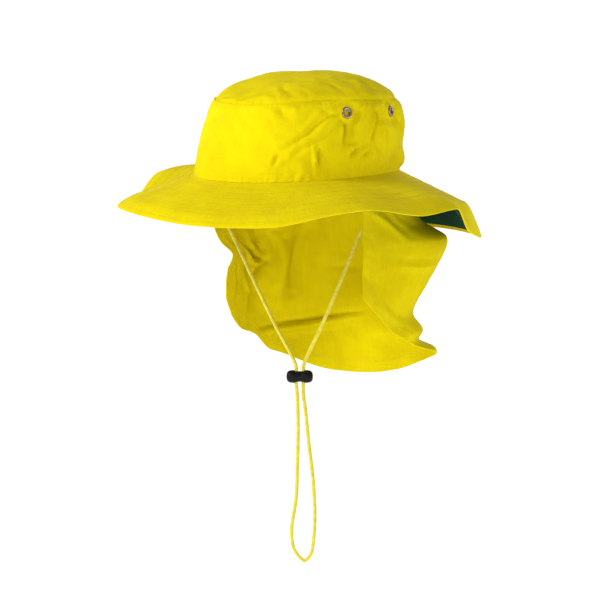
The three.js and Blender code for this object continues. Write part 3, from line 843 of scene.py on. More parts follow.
def share_added(tree, whole, part, share):
    """whole plus this share of part."""
    made = node(tree, "ShaderNodeMath", operation="MULTIPLY_ADD")
    made.inputs[1].default_value = share
    tree.links.new(part, made.inputs[0])
    tree.links.new(whole, made.inputs[2])
    return made.outputs["Value"]


def between(tree, amount, dark, light, low=0.0, high=1.0):
    """A colour from dark to light as the amount goes from low to high."""
    made = through(tree, "ShaderNodeValToRGB", amount, "Fac")
    ends = made.color_ramp.elements
    ends[0].position = low
    ends[0].color = (*dark, 1)
    ends[1].position = high
    ends[1].color = (*light, 1)
    return made.outputs["Color"]


def relief(tree, height, strength, distance, under=None):
    """The normal of a surface with this relief, over another one if it is given."""
    made = through(tree, "ShaderNodeBump", height, "Height", Strength=strength, Distance=distance)
    if under:
        tree.links.new(under, made.inputs["Normal"])
    return made.outputs["Normal"]


def dress(tree, shader, colour, normal, **values):
    """Gives a shader its colour, its normal and its plain values, by socket name."""
    tree.links.new(colour, shader.inputs["Base Color"])
    tree.links.new(normal, shader.inputs["Normal"])
    for key, value in values.items():
        shader.inputs[key.replace("_", " ")].default_value = value


def shine_through(tree, shader, colour, normal, share):
    """Lets this share of the light come through the cloth."""
    paler = through(tree, "ShaderNodeGamma", colour, "Color", Gamma=0.6).outputs["Color"]
    thin = through(tree, "ShaderNodeBsdfTranslucent", paler, "Color")
    tree.links.new(normal, thin.inputs["Normal"])
    blend = node(tree, "ShaderNodeMixShader", Fac=share)
    tree.links.new(shader.outputs["BSDF"], blend.inputs[1])
    tree.links.new(thin.outputs["BSDF"], blend.inputs[2])
    tree.links.new(blend.outputs["Shader"], tree.nodes["Material Output"].inputs["Surface"])


def twill(tree, uv, place):
    """The height of a drill weave: diagonal ribs, with a fuzz of fibres. A wave texture of
    scale 1 has 20 ribs in 2 pi metres."""
    turned = through(tree, "ShaderNodeMapping", uv, "Vector", Rotation=(0, 0, TWILL_TURN))
    bands = 1 / (TWILL_PITCH * MM) / 20 * 2 * math.pi
    ribs = through(tree, "ShaderNodeTexWave", turned.outputs["Vector"], "Vector", Scale=bands,
                   Distortion=0.6, Detail=1.0)
    return share_added(tree, ribs.outputs["Fac"], speckle(tree, place, 2600.0, 2.0), 0.7)


def cotton(name, dark, light, glow=0.0):
    """Woven cotton drill: a slightly uneven dye, diagonal twill relief and a soft nap. Where it
    is a single layer, some light comes through it: glow is that share."""
    material, tree, shader = principled(name)
    uv = node(tree, "ShaderNodeUVMap", uv_map="cloth").outputs["UV"]
    place = node(tree, "ShaderNodeTexCoord").outputs["Object"]
    stretched = through(tree, "ShaderNodeMapping", uv, "Vector", Scale=(1.0, 0.12, 1.0))
    slubs = speckle(tree, stretched.outputs["Vector"], 420.0, 3.0, 0.7)
    dye = share_added(tree, speckle(tree, place, 26.0, 4.0, 0.6), slubs, 0.35)
    colour = between(tree, dye, dark, light, 0.40, 0.85)
    weave = relief(tree, twill(tree, uv, place), 0.35, 0.00012)
    normal = relief(tree, speckle(tree, place, 95.0, 5.0, 0.55), 0.30, 0.0012, weave)
    dress(tree, shader, colour, normal, Roughness=0.95, Specular_IOR_Level=0.06,
           Sheen_Weight=0.06, Sheen_Roughness=0.6, Sheen_Tint=(*light, 1))
    if glow:
        shine_through(tree, shader, colour, normal, glow)
    return material


def thread(name, colour):
    """Sewing thread: a fine twist and a slight gloss."""
    material, tree, shader = principled(name)
    place = node(tree, "ShaderNodeTexCoord").outputs["Object"]
    twist = through(tree, "ShaderNodeTexWave", place, "Vector", Scale=900.0, Distortion=2.0)
    twist = twist.outputs["Fac"]
    tint = between(tree, twist, [c * 0.8 for c in colour], colour)
    dress(tree, shader, tint, relief(tree, twist, 0.4, 0.0001), Roughness=0.6)
    return material


def hard(name, grain, dull, dark, light, strength, **values):
    """A hard surface whose gloss, colour and relief follow one fine grain. The grain is noise
    of a scale, detail and roughness, and dull is the least and most roughness of the surface."""
    material, tree, shader = principled(name)
    place = node(tree, "ShaderNodeTexCoord").outputs["Object"]
    worn = speckle(tree, place, *grain)
    spread = through(tree, "ShaderNodeMapRange", worn, "Value")
    spread.inputs["To Min"].default_value, spread.inputs["To Max"].default_value = dull
    tree.links.new(spread.outputs["Result"], shader.inputs["Roughness"])
    dress(tree, shader, between(tree, worn, dark, light), relief(tree, worn, strength, 0.0001),
           **values)
    return material


def braided_cord():
    """The cord's soft braid."""
    material, tree, shader = principled("braided_yellow_cord")
    place = node(tree, "ShaderNodeTexCoord").outputs["Object"]
    colour = between(tree, speckle(tree, place, 300.0, 4.0), CORD_DARK, CORD_LIGHT, 0.35, 0.65)
    fuzz = relief(tree, speckle(tree, place, 3000.0, 2.0), 0.3, 0.0001)
    dress(tree, shader, colour, fuzz, Roughness=0.8, Sheen_Weight=0.2)
    return material


def settle(obj, material, slot, *nodes):
    """Dresses a piece, rides it on the hat, and hides the CAD parts that it stands for."""
    obj.data.materials.clear()
    obj.data.materials.append(material)
    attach(obj, "root")
    if nodes:
        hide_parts(*nodes)
    return obj


# The crown


def eyelet_spots():
    """Each eyelet's node, its place on the smooth crown side in mm, and the way it faces."""
    spots = []
    for where, angle in EYELET_ANGLES.items():
        turn = np.array([[angle - 0.5, angle, angle + 0.5]] * 3)
        share = EYELET_HEIGHT_SHARE + np.array([[-0.01], [0], [0.01]]) + 0 * turn
        points = crown_side(turn, share)
        spots.append((f"eyelet_{where}", points[1, 1], normals_of(points, False)[1, 1]))
    return spots


EYELETS = eyelet_spots()


def from_eyelets(points):
    """How far each point is from the nearest eyelet's middle, in mm."""
    return np.min([np.linalg.norm(points - centre, axis=-1) for _, centre, _ in EYELETS], axis=0)


def held_by_eyelets(points):
    """0 beside an eyelet, where the cloth is held flat, and 1 away from it."""
    return smoothstep(EYELET_OUTER_RADIUS, FLAT_ROUND_EYELET, from_eyelets(points))


def dimples(points):
    """How far the cloth sinks in a ring round each eyelet, in mm."""
    away = from_eyelets(points)
    return DIMPLE * smoothstep(EYELET_OUTER_RADIUS, 8, away) * smoothstep(17, 9, away)


def on_side(angle, share):
    """A place on the crown's side laid flat, in mm."""
    return round_opening(angle), share * CROWN_HEIGHT


def from_smooth_front(angle):
    """Degrees round from the part of the crown that stays smooth."""
    return np.abs(np.mod(angle - SMOOTH_FRONT_ANGLE + 180, 360) - 180)


def crisp_seam(angle):
    """1 where the top seam shows as a line, at the smooth front, and 0 where the cloth is limp."""
    return smoothstep(60, 20, from_smooth_front(angle))


def round_shoulder(angle, from_seam):
    """How the cloth within a few mm of the top seam draws in and down, which rounds the
    crown's shoulder: little at the smooth front, more where the crown is limp."""
    near = np.clip(1 - from_seam / SHOULDER_WIDTH, 0, 1) ** 2
    depth = near * (SHOULDER_DEPTH - SHOULDER_LESS_AT_FRONT * crisp_seam(angle))
    turn = np.radians(angle)
    return np.stack([-SHOULDER_IN * np.sin(turn) * depth, SHOULDER_IN * np.cos(turn) * depth,
                     -SHOULDER_DOWN * depth], -1)


def between_seams(share):
    """0 at the crown side's two seams, where its folds end, and 1 away from them."""
    return smoothstep(0.0, 0.13, share) * smoothstep(1.0, 0.90, share)


def crown_side_grid(columns, rows):
    """Angles and shares over the crown's side, from the top seam down."""
    return grid_of(all_round(columns), np.linspace(0, 1, rows)[::-1])


def pressed_crown_side(angle, share):
    """The crown's side with its folds pressed in, and the way that it faces."""
    points = crown_side(angle, share)
    normal = -normals_of(points, True)
    depth = all_folds(CROWN_FOLDS, *on_side(angle, share), on_side, AROUND)
    depth = depth * between_seams(share) * held_by_eyelets(points)
    return points - normal * depth[..., None], normal


def crumpled_crown_side():
    """How the side's slack cloth moves as it settles between its two seams and the eyelets."""
    angle, share = crown_side_grid(SIDE_SIM_COLUMNS, SIDE_SIM_ROWS)
    points, normal = pressed_crown_side(angle, share)
    from_edge = np.minimum(share, 1 - share)
    rough = ripple(*on_side(angle, share), *SIDE_START)
    points = points + normal * (0.7 * rough * np.minimum(1, from_edge * 8))[..., None]
    fixed = (from_edge < 0.03) | (from_eyelets(points) < EYELET_OUTER_RADIUS + 1.5)
    stiff_front = 0.08 * smoothstep(50, 15, from_smooth_front(angle))
    held = np.where(fixed, 1.0, np.maximum(0.02, stiff_front))
    slack = 0.2 + 0.8 * smoothstep(25, 75, from_smooth_front(angle))
    moved = buckled("crown_side_slack", points, held, slack, 0.03, closed=True)
    return finer(moved, SIDE_ROWS + 1, SIDE_COLUMNS, closed=True)


def side_relief(angle, share, flat):
    """How far the side's rumples, puckers and seams lie below its settled form, in mm."""
    x, y = on_side(angle, share)
    rumple = 0.35 * closed_round(crumple, x, y, AROUND, 0.9, *SIDE_RUMPLE)
    wrinkle = 0.16 * closed_round(crumple, x, y, AROUND, 0.9, *SIDE_WRINKLE)
    patch = 0.35 + 0.65 * smoothstep(-0.1, 0.3, ripple(x, y, *SIDE_PATCHES))
    depth = (rumple + wrinkle) * patch * between_seams(share) * (0.35 + 0.65 * flat)
    depth = depth + SIDE_SETTLES * np.sin(np.pi * share) * (1 - crisp_seam(angle))
    pucker = ripple(x, y, *BASE_PUCKER) * smoothstep(0.16, 0.02, share)
    pucker = pucker + 0.6 * ripple(x, y, *SHOULDER_PUCKER) * smoothstep(0.86, 0.97, share)
    seam = bell(CROWN_HEIGHT - y, SEAM_ROLL) * crisp_seam(angle)
    return depth - 0.9 * pucker + 0.25 * (seam + bell(y - TOPSTITCH_ABOVE_SEAM, STITCH_GROOVE))


def make_crown_side(material):
    """The crown's side with its eyelet holes. Returns its outer points and their normals."""
    angle, share = crown_side_grid(SIDE_COLUMNS, SIDE_ROWS + 1)
    points, normal = pressed_crown_side(angle, share)
    flat = held_by_eyelets(points)
    points = points + crumpled_crown_side() * flat[..., None] ** 0.5
    depth = side_relief(angle, share, flat) + dimples(points)
    x, y = on_side(angle, share)
    points = points - normal * depth[..., None] + round_shoulder(angle, CROWN_HEIGHT - y)
    points[..., 2] -= 0.7 * bell(y, BASE_TUCK)
    pairs = points[:-1] + points[1:]
    keep = from_eyelets((pairs + np.roll(pairs, -1, 1)) / 4) > CLOTH_HOLE_RADIUS
    cloth_piece("crown_side", points, (x, y), material, "yellow_cotton", closed=True, keep=keep)
    return points, -normals_of(points, True)


def creased_crown_top(angle, share):
    """The crown's top with its creases pressed in."""
    points = crown_top(angle, share)
    depth = all_folds(TOP_CREASES, points[..., 0], points[..., 1], lambda x, y: (x, y))
    points[..., 2] -= depth * smoothstep(1.0, 0.9, share)
    return points


def crumpled_crown_top():
    """How the top's slack cloth moves as it settles inside its seam."""
    angle, share = grid_of(all_round(TOP_SIM_COLUMNS), np.linspace(TOP_SIM_INNER, 1, TOP_SIM_ROWS))
    points = creased_crown_top(angle, share)
    rough = ripple(points[..., 0], points[..., 1], *TOP_START)
    points[..., 2] += 0.7 * rough * np.minimum(1, (1 - share) * 8)
    held = np.where(share > 0.97, 1.0, 0.06)
    moved = buckled("crown_top_slack", points, held, np.ones_like(share), 0.014, closed=True)
    moved[..., 2] -= TOP_SETTLES * smoothstep(1.0, 0.6, share)
    rows = int(round(TOP_RINGS * (1 - TOP_SIM_INNER))) + 1
    outer = finer(moved, rows, TOP_COLUMNS, closed=True)
    inner = outer[0].mean(0)
    ease = smoothstep(0, 0.2, np.linspace(0, 1, rows))[:, None, None]
    middle = np.broadcast_to(inner, (TOP_RINGS + 1 - rows, TOP_COLUMNS, 3))
    return np.concatenate([middle, outer * ease + inner * (1 - ease)])


def top_relief(angle, share, x, y, to_rim):
    """How far the top's rumples, puckers and seam stand above its settled form, in mm."""
    soft = 0.45 * crumple(x, y, *TOP_RUMPLE) + 0.2 * crumple(x, y, *TOP_WRINKLE)
    patch = smoothstep(-0.25, 0.3, ripple(x, y, *TOP_PATCHES))
    lift = -soft * smoothstep(1.0, 0.9, share) * patch
    pucker = ripple(np.radians(angle) * TOP_MEAN_RADIUS, to_rim, *TOP_PUCKER)
    pucker = pucker * smoothstep(14, 2, to_rim) * smoothstep(0, 2, to_rim)
    return lift - 0.3 * bell(to_rim, SEAM_ROLL) * crisp_seam(angle) + 0.5 * pucker


def make_crown_top(material):
    angle, share = grid_of(all_round(TOP_COLUMNS), np.linspace(TOP_INNER, 1, TOP_RINGS + 1))
    points = creased_crown_top(angle, share)
    x = points[..., 0].copy()
    y = points[..., 1].copy()
    rim = crown_side(angle, np.ones_like(share))
    to_rim = np.hypot(rim[..., 0] - x, rim[..., 1] - y)
    points = points + crumpled_crown_top() + round_shoulder(angle, to_rim)
    points[..., 2] += top_relief(angle, share, x, y, to_rim) - 0.1
    outwards = np.stack([np.sin(np.radians(angle)), -np.cos(np.radians(angle))], -1)
    points[..., :2] += 0.15 * outwards
    obj = grid_object("crown_top_cloth", points, closed=True, flip=True)
    write_uv(obj.data, x, y)
    fill_middle(obj.data)
    thicken(obj)
    settle(obj, material, "yellow_cotton", "crown_top")


# The brim


def brim_points(angle, share):
    """The brim's upper face, the way that it faces, its flat places in mm, and its width."""
    points = brim(angle, share)
    normal = normals_of(points, True)
    normal = normal * np.sign(normal[..., 2:3])
    x = round_opening(angle) * BRIM_ROUND
    around = AROUND * BRIM_ROUND
    reach = brim_reach(angle) + BRIM_INNER_MARGIN
    y = share * reach
    free = smoothstep(0.0, 0.2, share)
    wave = closed_round(ripple, x, y, around, 0.92, *BRIM_WAVE)
    wrinkle = closed_round(crumple, x, y, around, 0.92, *BRIM_WRINKLE)
    lift = (1.4 * wave * share + 0.22 * wrinkle) * free + 0.5 * bell(y - 1.5, 1.6)
    for k in range(STITCH_ROWS):
        lift = lift - 0.22 * bell(y - (reach - EDGE_ROW - k * ROW_SPACING), STITCH_GROOVE)
    past_row = np.mod(reach - EDGE_ROW - y, ROW_SPACING) / ROW_SPACING
    lift = lift + 0.16 * ripple(x, y, *BRIM_TICK) * np.sin(np.pi * past_row) * free
    return points + normal * lift[..., None], normal, x, y, reach


def make_brim(yellow, green):
    """Both cloths of the brim. Returns the upper one's points, their normals and its width."""
    angle, share = grid_of(all_round(BRIM_COLUMNS), np.linspace(0, 1, BRIM_ROWS + 1))
    points, normal, x, y, reach = brim_points(angle, share)
    edge = bell(reach - y, EDGE_ROUNDING)
    top = points - normal * (0.6 * edge)[..., None]
    cloth_piece("brim_upper", top, (x, y), yellow, "yellow_cotton", closed=True, flip=True)
    below = points[:-1] - (normal * (UNDER_DROP - 0.45 * edge)[..., None])[:-1]
    cloth_piece("brim_under", below, (x[:-1], y[:-1]), green, "green_cotton", closed=True, flip=True)
    return points, normal, reach[0]


# The neck flap


def flap_grid(columns, rows):
    """Angles and shares of length over the flap, from its seam down."""
    return grid_of(np.linspace(FLAP_SECTIONS[0, 0], FLAP_SECTIONS[-1, 0], columns),
                   np.linspace(0, 1, rows))


def creased_flap(angle, share):
    """The flap with its creases, and the way that its outer face points."""
    points = flap(angle, share)
    normal = -normals_of(points, False)
    depth = flap_length(angle) * share
    lift = all_folds(FLAP_FOLDS, round_opening(angle), depth, lambda a, d: (round_opening(a), d))
    return points + normal * lift[..., None], normal


def crumpled_flap():
    """How the flap's slack cloth moves as it settles, hung from its seam."""
    angle, share = flap_grid(FLAP_SIM_COLUMNS, FLAP_SIM_ROWS)
    points, normal = creased_flap(angle, share)
    depth = flap_length(angle) * share
    rough = ripple(round_opening(angle), depth, *FLAP_START) * smoothstep(0, 14, depth)
    points = points + normal * (0.9 * rough)[..., None]
    held = np.where(depth < 4, 1.0, 0.03)
    limp = smoothstep(215, 235, angle) * smoothstep(110, 70, depth) * smoothstep(262, 248, angle)
    moved = buckled("neck_flap_slack", points, held, 0.35 + 0.65 * limp, 0.04)
    moved[..., 2] -= share * moved[-1:, :, 2]
    return finer(moved, FLAP_ROWS + 1, FLAP_COLUMNS + 1)


def make_flap(material):
    """The flap. Returns the piece, its outer points and the way that they face."""
    angle, share = flap_grid(FLAP_COLUMNS + 1, FLAP_ROWS + 1)
    points, normal = creased_flap(angle, share)
    points = points + crumpled_flap()
    x = round_opening(angle)
    depth = flap_length(angle) * share
    lift = 0.6 * crumple(x, depth, *FLAP_RUMPLE) + 0.22 * crumple(x, depth, *FLAP_WRINKLE)
    points = points + normal * (lift * smoothstep(0, 14, depth))[..., None]
    piece = cloth_piece("neck_flap", points, (x, depth), material, "yellow_cotton", flip=True)
    return piece, points, normal


# Eyelets


def eyelet_profile():
    """The stamped ring: a domed front flange, the barrel and the rolled back flange."""
    front = [(EYELET_HOLE_RADIUS + 0.1, 0.35), (EYELET_HOLE_RADIUS + 0.3, 0.85)]
    for turn in np.linspace(0.78 * math.pi, 0, 9):
        front.append((3.95 + 1.15 * math.cos(turn), 0.45 + 0.75 * math.sin(turn)))
    front += [(5.15, 0.30), (4.9, 0.2), (3.3, 0.2)]
    back = [(3.3, -1.3), (4.6, -1.35), (4.8, -1.6), (4.3, -1.95), (3.2, -2.0)]
    back += [(EYELET_HOLE_RADIUS, -1.7), (EYELET_HOLE_RADIUS, -0.6)]
    return np.array(front + back + front[:1])


def make_eyelets(material):
    profile = eyelet_profile()
    for name, centre, normal in EYELETS:
        points = turned_points(profile[:, 0], profile[:, 1], 48)
        ring = grid_object(name.replace("eyelet", "eyelet_ring"), points, closed=True)
        with editing(ring.data) as bm:
            bmesh.ops.remove_doubles(bm, verts=bm.verts, dist=1e-7)
            bmesh.ops.recalc_face_normals(bm, faces=bm.faces)
        turn = Vector((0, 0, 1)).rotation_difference(Vector(normal)).to_matrix().to_4x4()
        ring.data.transform(Matrix.Translation(Vector(centre) * MM) @ turn)
        settle(ring, material, "nickel", name)


# The cord, its tabs and its slider

CORD_SIDES = 20
CORD_STEP = 0.5
CURVE_STEPS = 40
BRAID_STRANDS = 4
BRAID_PITCH = 7.0
BRAID_DEPTH = 0.06

# The slider's profile: distance from its middle, and radius as a share of the lobes' radius
LOCK_PROFILE = np.array([
    (0, 0.82), (1.5, 0.83), (3.5, 0.95), (6, 1.0), (8.5, 0.94), (9.9, 0.82), (10.9, 0.62),
    (11.38, 0.34), (11.5, 0.02),
])


def catmull_rom(points, spacing):
    """A centripetal Catmull-Rom curve through the points, in even steps of about spacing."""
    points = np.asarray(points, float)
    ends = [2 * points[0] - points[1], *points, 2 * points[-1] - points[-2]]
    out = []
    for p0, p1, p2, p3 in zip(ends, ends[1:], ends[2:], ends[3:]):
        t0 = 0.0
        t1 = t0 + np.linalg.norm(p1 - p0) ** 0.5
        t2 = t1 + np.linalg.norm(p2 - p1) ** 0.5
        t3 = t2 + np.linalg.norm(p3 - p2) ** 0.5
        t = np.linspace(t1, t2, CURVE_STEPS, endpoint=False)[:, None]
        a1 = (t1 - t) / (t1 - t0) * p0 + (t - t0) / (t1 - t0) * p1
        a2 = (t2 - t) / (t2 - t1) * p1 + (t - t1) / (t2 - t1) * p2
        a3 = (t3 - t) / (t3 - t2) * p2 + (t - t2) / (t3 - t2) * p3
        b1 = (t2 - t) / (t2 - t0) * a1 + (t - t0) / (t2 - t0) * a2
        b2 = (t3 - t) / (t3 - t1) * a2 + (t - t1) / (t3 - t1) * a3
        out.append((t2 - t) / (t2 - t1) * b1 + (t - t1) / (t2 - t1) * b2)
    curve = np.concatenate([*out, points[-1:]])
    reach = reach_along(curve)
    count = max(2, int(round(reach[-1] / spacing)) + 1)
    at = np.linspace(0, reach[-1], count)
    return np.stack([np.interp(at, reach, curve[:, k]) for k in range(3)], -1)


def cord_end(angle):
    """Where the cord leaves its tab, in mm."""
    z = seam_base(angle) - FLAP_DROP_AT_SEAM - TAB_SIZE[2] - GAP
    return from_opening(angle, -CORD_INSET, z)


def in_lock(side, height):
    """A place on the axis of one of the slider's bores: side is -1 or 1."""
    return LOCK_CENTRE + LOCK_ACROSS * side * LOCK_BORE_SPACING / 2 + np.array([0, 0, height])


def hanging(across, z):
    """A place below the slider, this far across from the line through its middle."""
    point = LOCK_CENTRE + LOCK_ACROSS * across
    point[2] = z
    return point


def cord_route():
    """The cord's route points in mm, from the wearer's right end to the left one."""
    right_end = cord_end(CORD_ANGLE_RIGHT)
    left_end = cord_end(CORD_ANGLE_LEFT)
    right_top = in_lock(-1, 9)
    left_top = in_lock(1, 9)

    def on_way(a, b, t, sag):
        return a + (b - a) * t - np.array([0, 0, sag])

    return [
        right_end, right_end + np.array([0.8, 0, -6]),
        on_way(right_end, right_top, 0.25, 2.5), on_way(right_end, right_top, 0.5, 3),
        on_way(right_end, right_top, 0.75, 2.5), right_top, in_lock(-1, 4), in_lock(-1, -5),
        hanging(-2.2, -196), hanging(-1.4, -225), hanging(-2, -255), hanging(-3, -285),
        hanging(-7, -314), hanging(-5, -330), hanging(0.5, -338), hanging(4.2, LOOP_BOTTOM + 0.5),
        hanging(9.5, -335), hanging(12, -322), hanging(13, -300), hanging(11.5, -270),
        hanging(8, -240), hanging(5, -210), hanging(3, -194), in_lock(1, -5), in_lock(1, 4),
        left_top, on_way(left_end, left_top, 0.75, 2.5), on_way(left_end, left_top, 0.5, 3),
        on_way(left_end, left_top, 0.25, 2.5), left_end + np.array([-0.8, 0, -6]), left_end,
    ]


def across_path(path):
    """Two unit vectors across a path at each of its points, which turn with it but don't spin."""
    ahead = np.gradient(path, axis=0)
    ahead /= np.linalg.norm(ahead, axis=1, keepdims=True)
    side = np.empty_like(ahead)
    last = np.array([0.0, 1.0, 0.0])
    for i, t in enumerate(ahead):
        last = last - t * (last @ t)
        last = last / np.linalg.norm(last)
        side[i] = last
    return side, np.cross(ahead, side)


def make_cord(material):
    """The braided cord, whose strands wind round it both ways."""
    path = catmull_rom(cord_route(), CORD_STEP)
    reach = reach_along(path)
    turn = np.linspace(0, 2 * math.pi, CORD_SIDES, endpoint=False)
    wind = reach[:, None] * 2 * math.pi / BRAID_PITCH
    braid = np.abs(np.sin(BRAID_STRANDS * turn + wind) * np.sin(BRAID_STRANDS * turn - wind))
    radius = CORD_DIAMETER / 2 * (1 - BRAID_DEPTH + BRAID_DEPTH * np.sqrt(braid))
    radius[[0, -1]] *= 0.6
    side, other = across_path(path)
    ring = np.cos(turn)[:, None] * side[:, None] + np.sin(turn)[:, None] * other[:, None]
    obj = grid_object("chin_cord_braid", path[:, None] + radius[..., None] * ring, closed=True)
    close_ends(obj.data)
    settle(obj, material, "yellow_cord", "chin_cord")


def bore_cutter(side):
    """A round bar through the slider, where one run of the cord goes."""
    mesh = bpy.data.meshes.new("bore")
    radius = (CORD_DIAMETER / 2 + LOCK_BORE_CLEARANCE) * MM
    with editing(mesh) as bm:
        bmesh.ops.create_cone(bm, cap_ends=True, segments=40, radius1=radius, radius2=radius,
                              depth=20 * MM)
    mesh.transform(Matrix.Translation(Vector(in_lock(side, 0)) * MM))
    return new_object("bore", mesh)


def make_lock(material):
    """The slider: a waisted bead that lies across the two runs of the cord."""
    heights = np.linspace(-LOCK_LENGTH / 2, LOCK_LENGTH / 2, 73)
    radii = np.interp(np.abs(heights), *LOCK_PROFILE.T) * LOCK_LOBE_RADIUS
    obj = grid_object("cord_lock_bead", turned_points(radii, heights, 56), closed=True)
    close_ends(obj.data)
    turned = Vector((0, 0, 1)).rotation_difference(Vector(LOCK_ACROSS)).to_matrix().to_4x4()
    obj.data.transform(Matrix.Translation(Vector(LOCK_CENTRE) * MM) @ turned)
    for side in (-1, 1):
        cutter = bore_cutter(side)
        cut = obj.modifiers.new("bore", "BOOLEAN")
        cut.operation = "DIFFERENCE"
        cut.solver = "EXACT"
        cut.object = cutter
        apply_modifiers(obj)
        bpy.data.objects.remove(cutter)
    return settle(obj, material, "black_plastic", "cord_lock")


def make_tab(side, angle, material):
    """The folded cloth tab that holds a cord end: a soft-edged pad of the tab's size."""
    z = seam_base(angle) - FLAP_DROP_AT_SEAM - TAB_SIZE[2] / 2
    centre = from_opening(angle, -CORD_INSET, z)
    outward = from_opening(angle, 1, z) - from_opening(angle, 0, z)
    mesh = bpy.data.meshes.new(f"cord_tab_{side}_cloth")
    with editing(mesh) as bm:
        bmesh.ops.create_cube(bm, size=1)
        bmesh.ops.scale(bm, verts=bm.verts, vec=Vector(TAB_SIZE) * MM)
        bmesh.ops.bevel(bm, geom=bm.edges, offset=0.5 * MM, segments=3, affect="EDGES")
        bmesh.ops.subdivide_edges(bm, edges=bm.edges, cuts=2, use_grid_fill=True)
    write_uv(mesh, *np.array([v.co[1:3] for v in mesh.vertices]).T / MM)
    spin = Matrix.Rotation(math.atan2(outward[1], outward[0]), 4, "Z")
    mesh.transform(Matrix.Translation(Vector(centre) * MM) @ spin)
    obj = new_object(mesh.name, mesh)
    return settle(obj, material, "yellow_cotton", f"cord_tab_{side}")


# Stitching. Each row lies a hair above its cloth.

ABOVE_CLOTH = 0.05


def closed_line(points):
    """A line of points with its first one again at the end."""
    return np.concatenate([points, points[:1]])


def brim_stitches(points, normal, reach, yellow, green):
    """Rows of topstitching round the brim, seen above in yellow and below in green."""
    above = []
    below = []
    columns = np.arange(points.shape[1])
    for k in range(STITCH_ROWS):
        row = reach - EDGE_ROW - k * ROW_SPACING
        at = np.clip(row / reach, 0, 1) * BRIM_ROWS
        low = np.clip(at.astype(int), 0, BRIM_ROWS - 1)
        t = (at - low)[:, None]
        line = closed_line(points[low, columns] * (1 - t) + points[low + 1, columns] * t)
        up = closed_line(normal[low, columns])
        above.append(sewn("row", line + up * ABOVE_CLOTH, up, BRIM_STITCH))
        below.append(sewn("row", line - up * (UNDER_DROP + WALL + ABOVE_CLOTH), -up, UNDER_STITCH))
    settle(join(above, "brim_stitches"), yellow, "yellow_cotton")
    settle(join(below, "brim_under_stitches"), green, "green_cotton")


def crown_stitches(points, normal, yellow):
    """The row of topstitching above the base seam."""
    row = int(round((1 - TOPSTITCH_ABOVE_SEAM / CROWN_HEIGHT) * SIDE_ROWS))
    line = closed_line(points[row])
    up = closed_line(normal[row])
    settle(sewn("crown_stitches", line + up * 0.02, up, CROWN_STITCH), yellow, "yellow_cotton")


def flap_stitches(points, normal, yellow):
    """The hem's row of stitches down both front edges and along the bottom."""
    column = int(round(HEM / (round_opening(198.0) / FLAP_COLUMNS)))
    row = FLAP_ROWS - int(round(HEM / (FLAP_MEAN_LENGTH / FLAP_ROWS)))
    path, up = [np.concatenate([grid[2:row, column], grid[row, column:-column],
                                grid[2:row, -column - 1][::-1]]) for grid in (points, normal)]
    outside = sewn("row", path + up * ABOVE_CLOTH, up, BRIM_STITCH)
    inside = sewn("row", path - up * (WALL + ABOVE_CLOTH), -up, BRIM_STITCH)
    settle(join([outside, inside], "flap_stitches"), yellow, "yellow_cotton")


# Studio and camera


def towards(azimuth, elevation):
    """A unit vector from the hat, by the camera's two angles."""
    a = math.radians(azimuth)
    e = math.radians(elevation)
    return Vector((math.sin(a) * math.cos(e), -math.cos(a) * math.cos(e), math.sin(e)))


def face_hat(obj, direction):
    """Turns a light or a camera that stands in this direction towards the hat."""
    obj.rotation_euler = (-direction).to_track_quat("-Z", "Y").to_euler()
    bpy.context.collection.objects.link(obj)


def make_floor():
    bpy.ops.mesh.primitive_plane_add(size=FLOOR_SIZE, location=(0, 0, FLOOR_HEIGHT))
    floor = bpy.context.object
    floor.name = "studio_floor"
    material, _, shader = principled("pale_floor")
    shader.inputs["Base Color"].default_value = (FLOOR_GREY, FLOOR_GREY, FLOOR_GREY, 1)
    shader.inputs["Roughness"].default_value = 0.9
    shader.inputs["Emission Color"].default_value = (1, 1, 1, 1)
    shader.inputs["Emission Strength"].default_value = FLOOR_GLOW
    floor.data.materials.append(material)


def make_light(name, azimuth, elevation, distance, size, power):
    """A soft disc of light."""
    data = bpy.data.lights.new(name, "AREA")
    data.shape = "DISK"
    data.size = size
    data.energy = power
    lamp = bpy.data.objects.new(name, data)
    lamp.location = towards(VIEW_AZIMUTH + azimuth, elevation) * distance
    face_hat(lamp, lamp.location)


def make_studio():
    make_floor()
    world = bpy.data.worlds.new("studio")
    world.use_nodes = True
    background = world.node_tree.nodes["Background"]
    background.inputs["Color"].default_value = (1, 1, 1, 1)
    background.inputs["Strength"].default_value = AMBIENT
    bpy.context.scene.world = world
    bpy.context.scene.view_settings.view_transform = "Standard"
    for name, values in LIGHTS.items():
        make_light(name, *values)


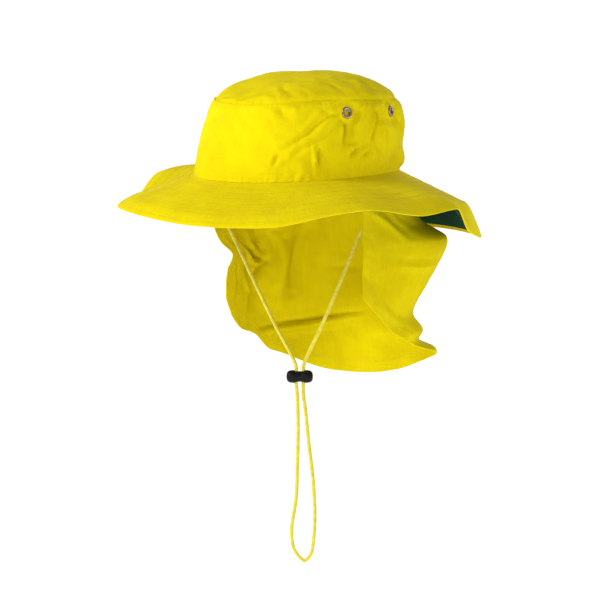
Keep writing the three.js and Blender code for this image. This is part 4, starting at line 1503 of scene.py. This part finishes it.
def make_camera():
    data = bpy.data.cameras.new("photo_camera")
    data.sensor_width = SENSOR
    data.lens = SENSOR * VIEW_DISTANCE / (PHOTO_WIDTH / PIXELS_PER_MM * MM)
    data.clip_end = 100
    camera = bpy.data.objects.new("photo_camera", data)
    direction = towards(VIEW_AZIMUTH, VIEW_ELEVATION)
    right = Vector((-direction.y, direction.x, 0)).normalized()
    up = right.cross(-direction)
    aside = (PHOTO_WIDTH / 2 - ORIGIN_PIXEL[0]) / PIXELS_PER_MM * MM
    below = (ORIGIN_PIXEL[1] - PHOTO_WIDTH / 2) / PIXELS_PER_MM * MM
    camera.location = right * aside + up * below + direction * VIEW_DISTANCE
    face_hat(camera, direction)
    bpy.context.scene.camera = camera


make_camera()
make_studio()

yellow_cotton = cotton("yellow_cotton_drill", YELLOW_DARK, YELLOW_LIGHT)
flap_cotton = cotton("yellow_cotton_flap", YELLOW_DARK, YELLOW_LIGHT, FLAP_GLOW)
green_cotton = cotton("green_cotton_drill", GREEN_DARK, GREEN_LIGHT)
yellow_thread = thread("yellow_thread", YELLOW_THREAD)
green_thread = thread("green_thread", GREEN_THREAD)
black_plastic = hard("moulded_black_plastic", (1500.0, 3.0), (0.35, 0.55), PLASTIC_DARK,
                     PLASTIC_LIGHT, 0.2, Specular_IOR_Level=0.1)
# The eyelets' nickel carries painted shade: its colours are darkened to stand in for the dark eyelet
# holes.
nickel = hard("stamped_nickel_shade_darkened", (700.0, 6.0, 0.7), (0.16, 0.42), SHADED_NICKEL_DARK, SHADED_NICKEL_LIGHT, 0.15,
              Metallic=1.0)

lock_piece = make_lock(black_plastic)
tab_pieces = [make_tab("left", CORD_ANGLE_LEFT, yellow_cotton),
              make_tab("right", CORD_ANGLE_RIGHT, yellow_cotton)]
make_cord(braided_cord())
side_points, side_normals = make_crown_side(yellow_cotton)
make_crown_top(yellow_cotton)
crown_stitches(side_points, side_normals, yellow_thread)
make_eyelets(nickel)
brim_grid, brim_normals, brim_width = make_brim(yellow_cotton, green_cotton)
brim_stitches(brim_grid, brim_normals, brim_width, yellow_thread, green_thread)
flap_piece, flap_points, flap_normals = make_flap(flap_cotton)
flap_stitches(flap_points, flap_normals, yellow_thread)
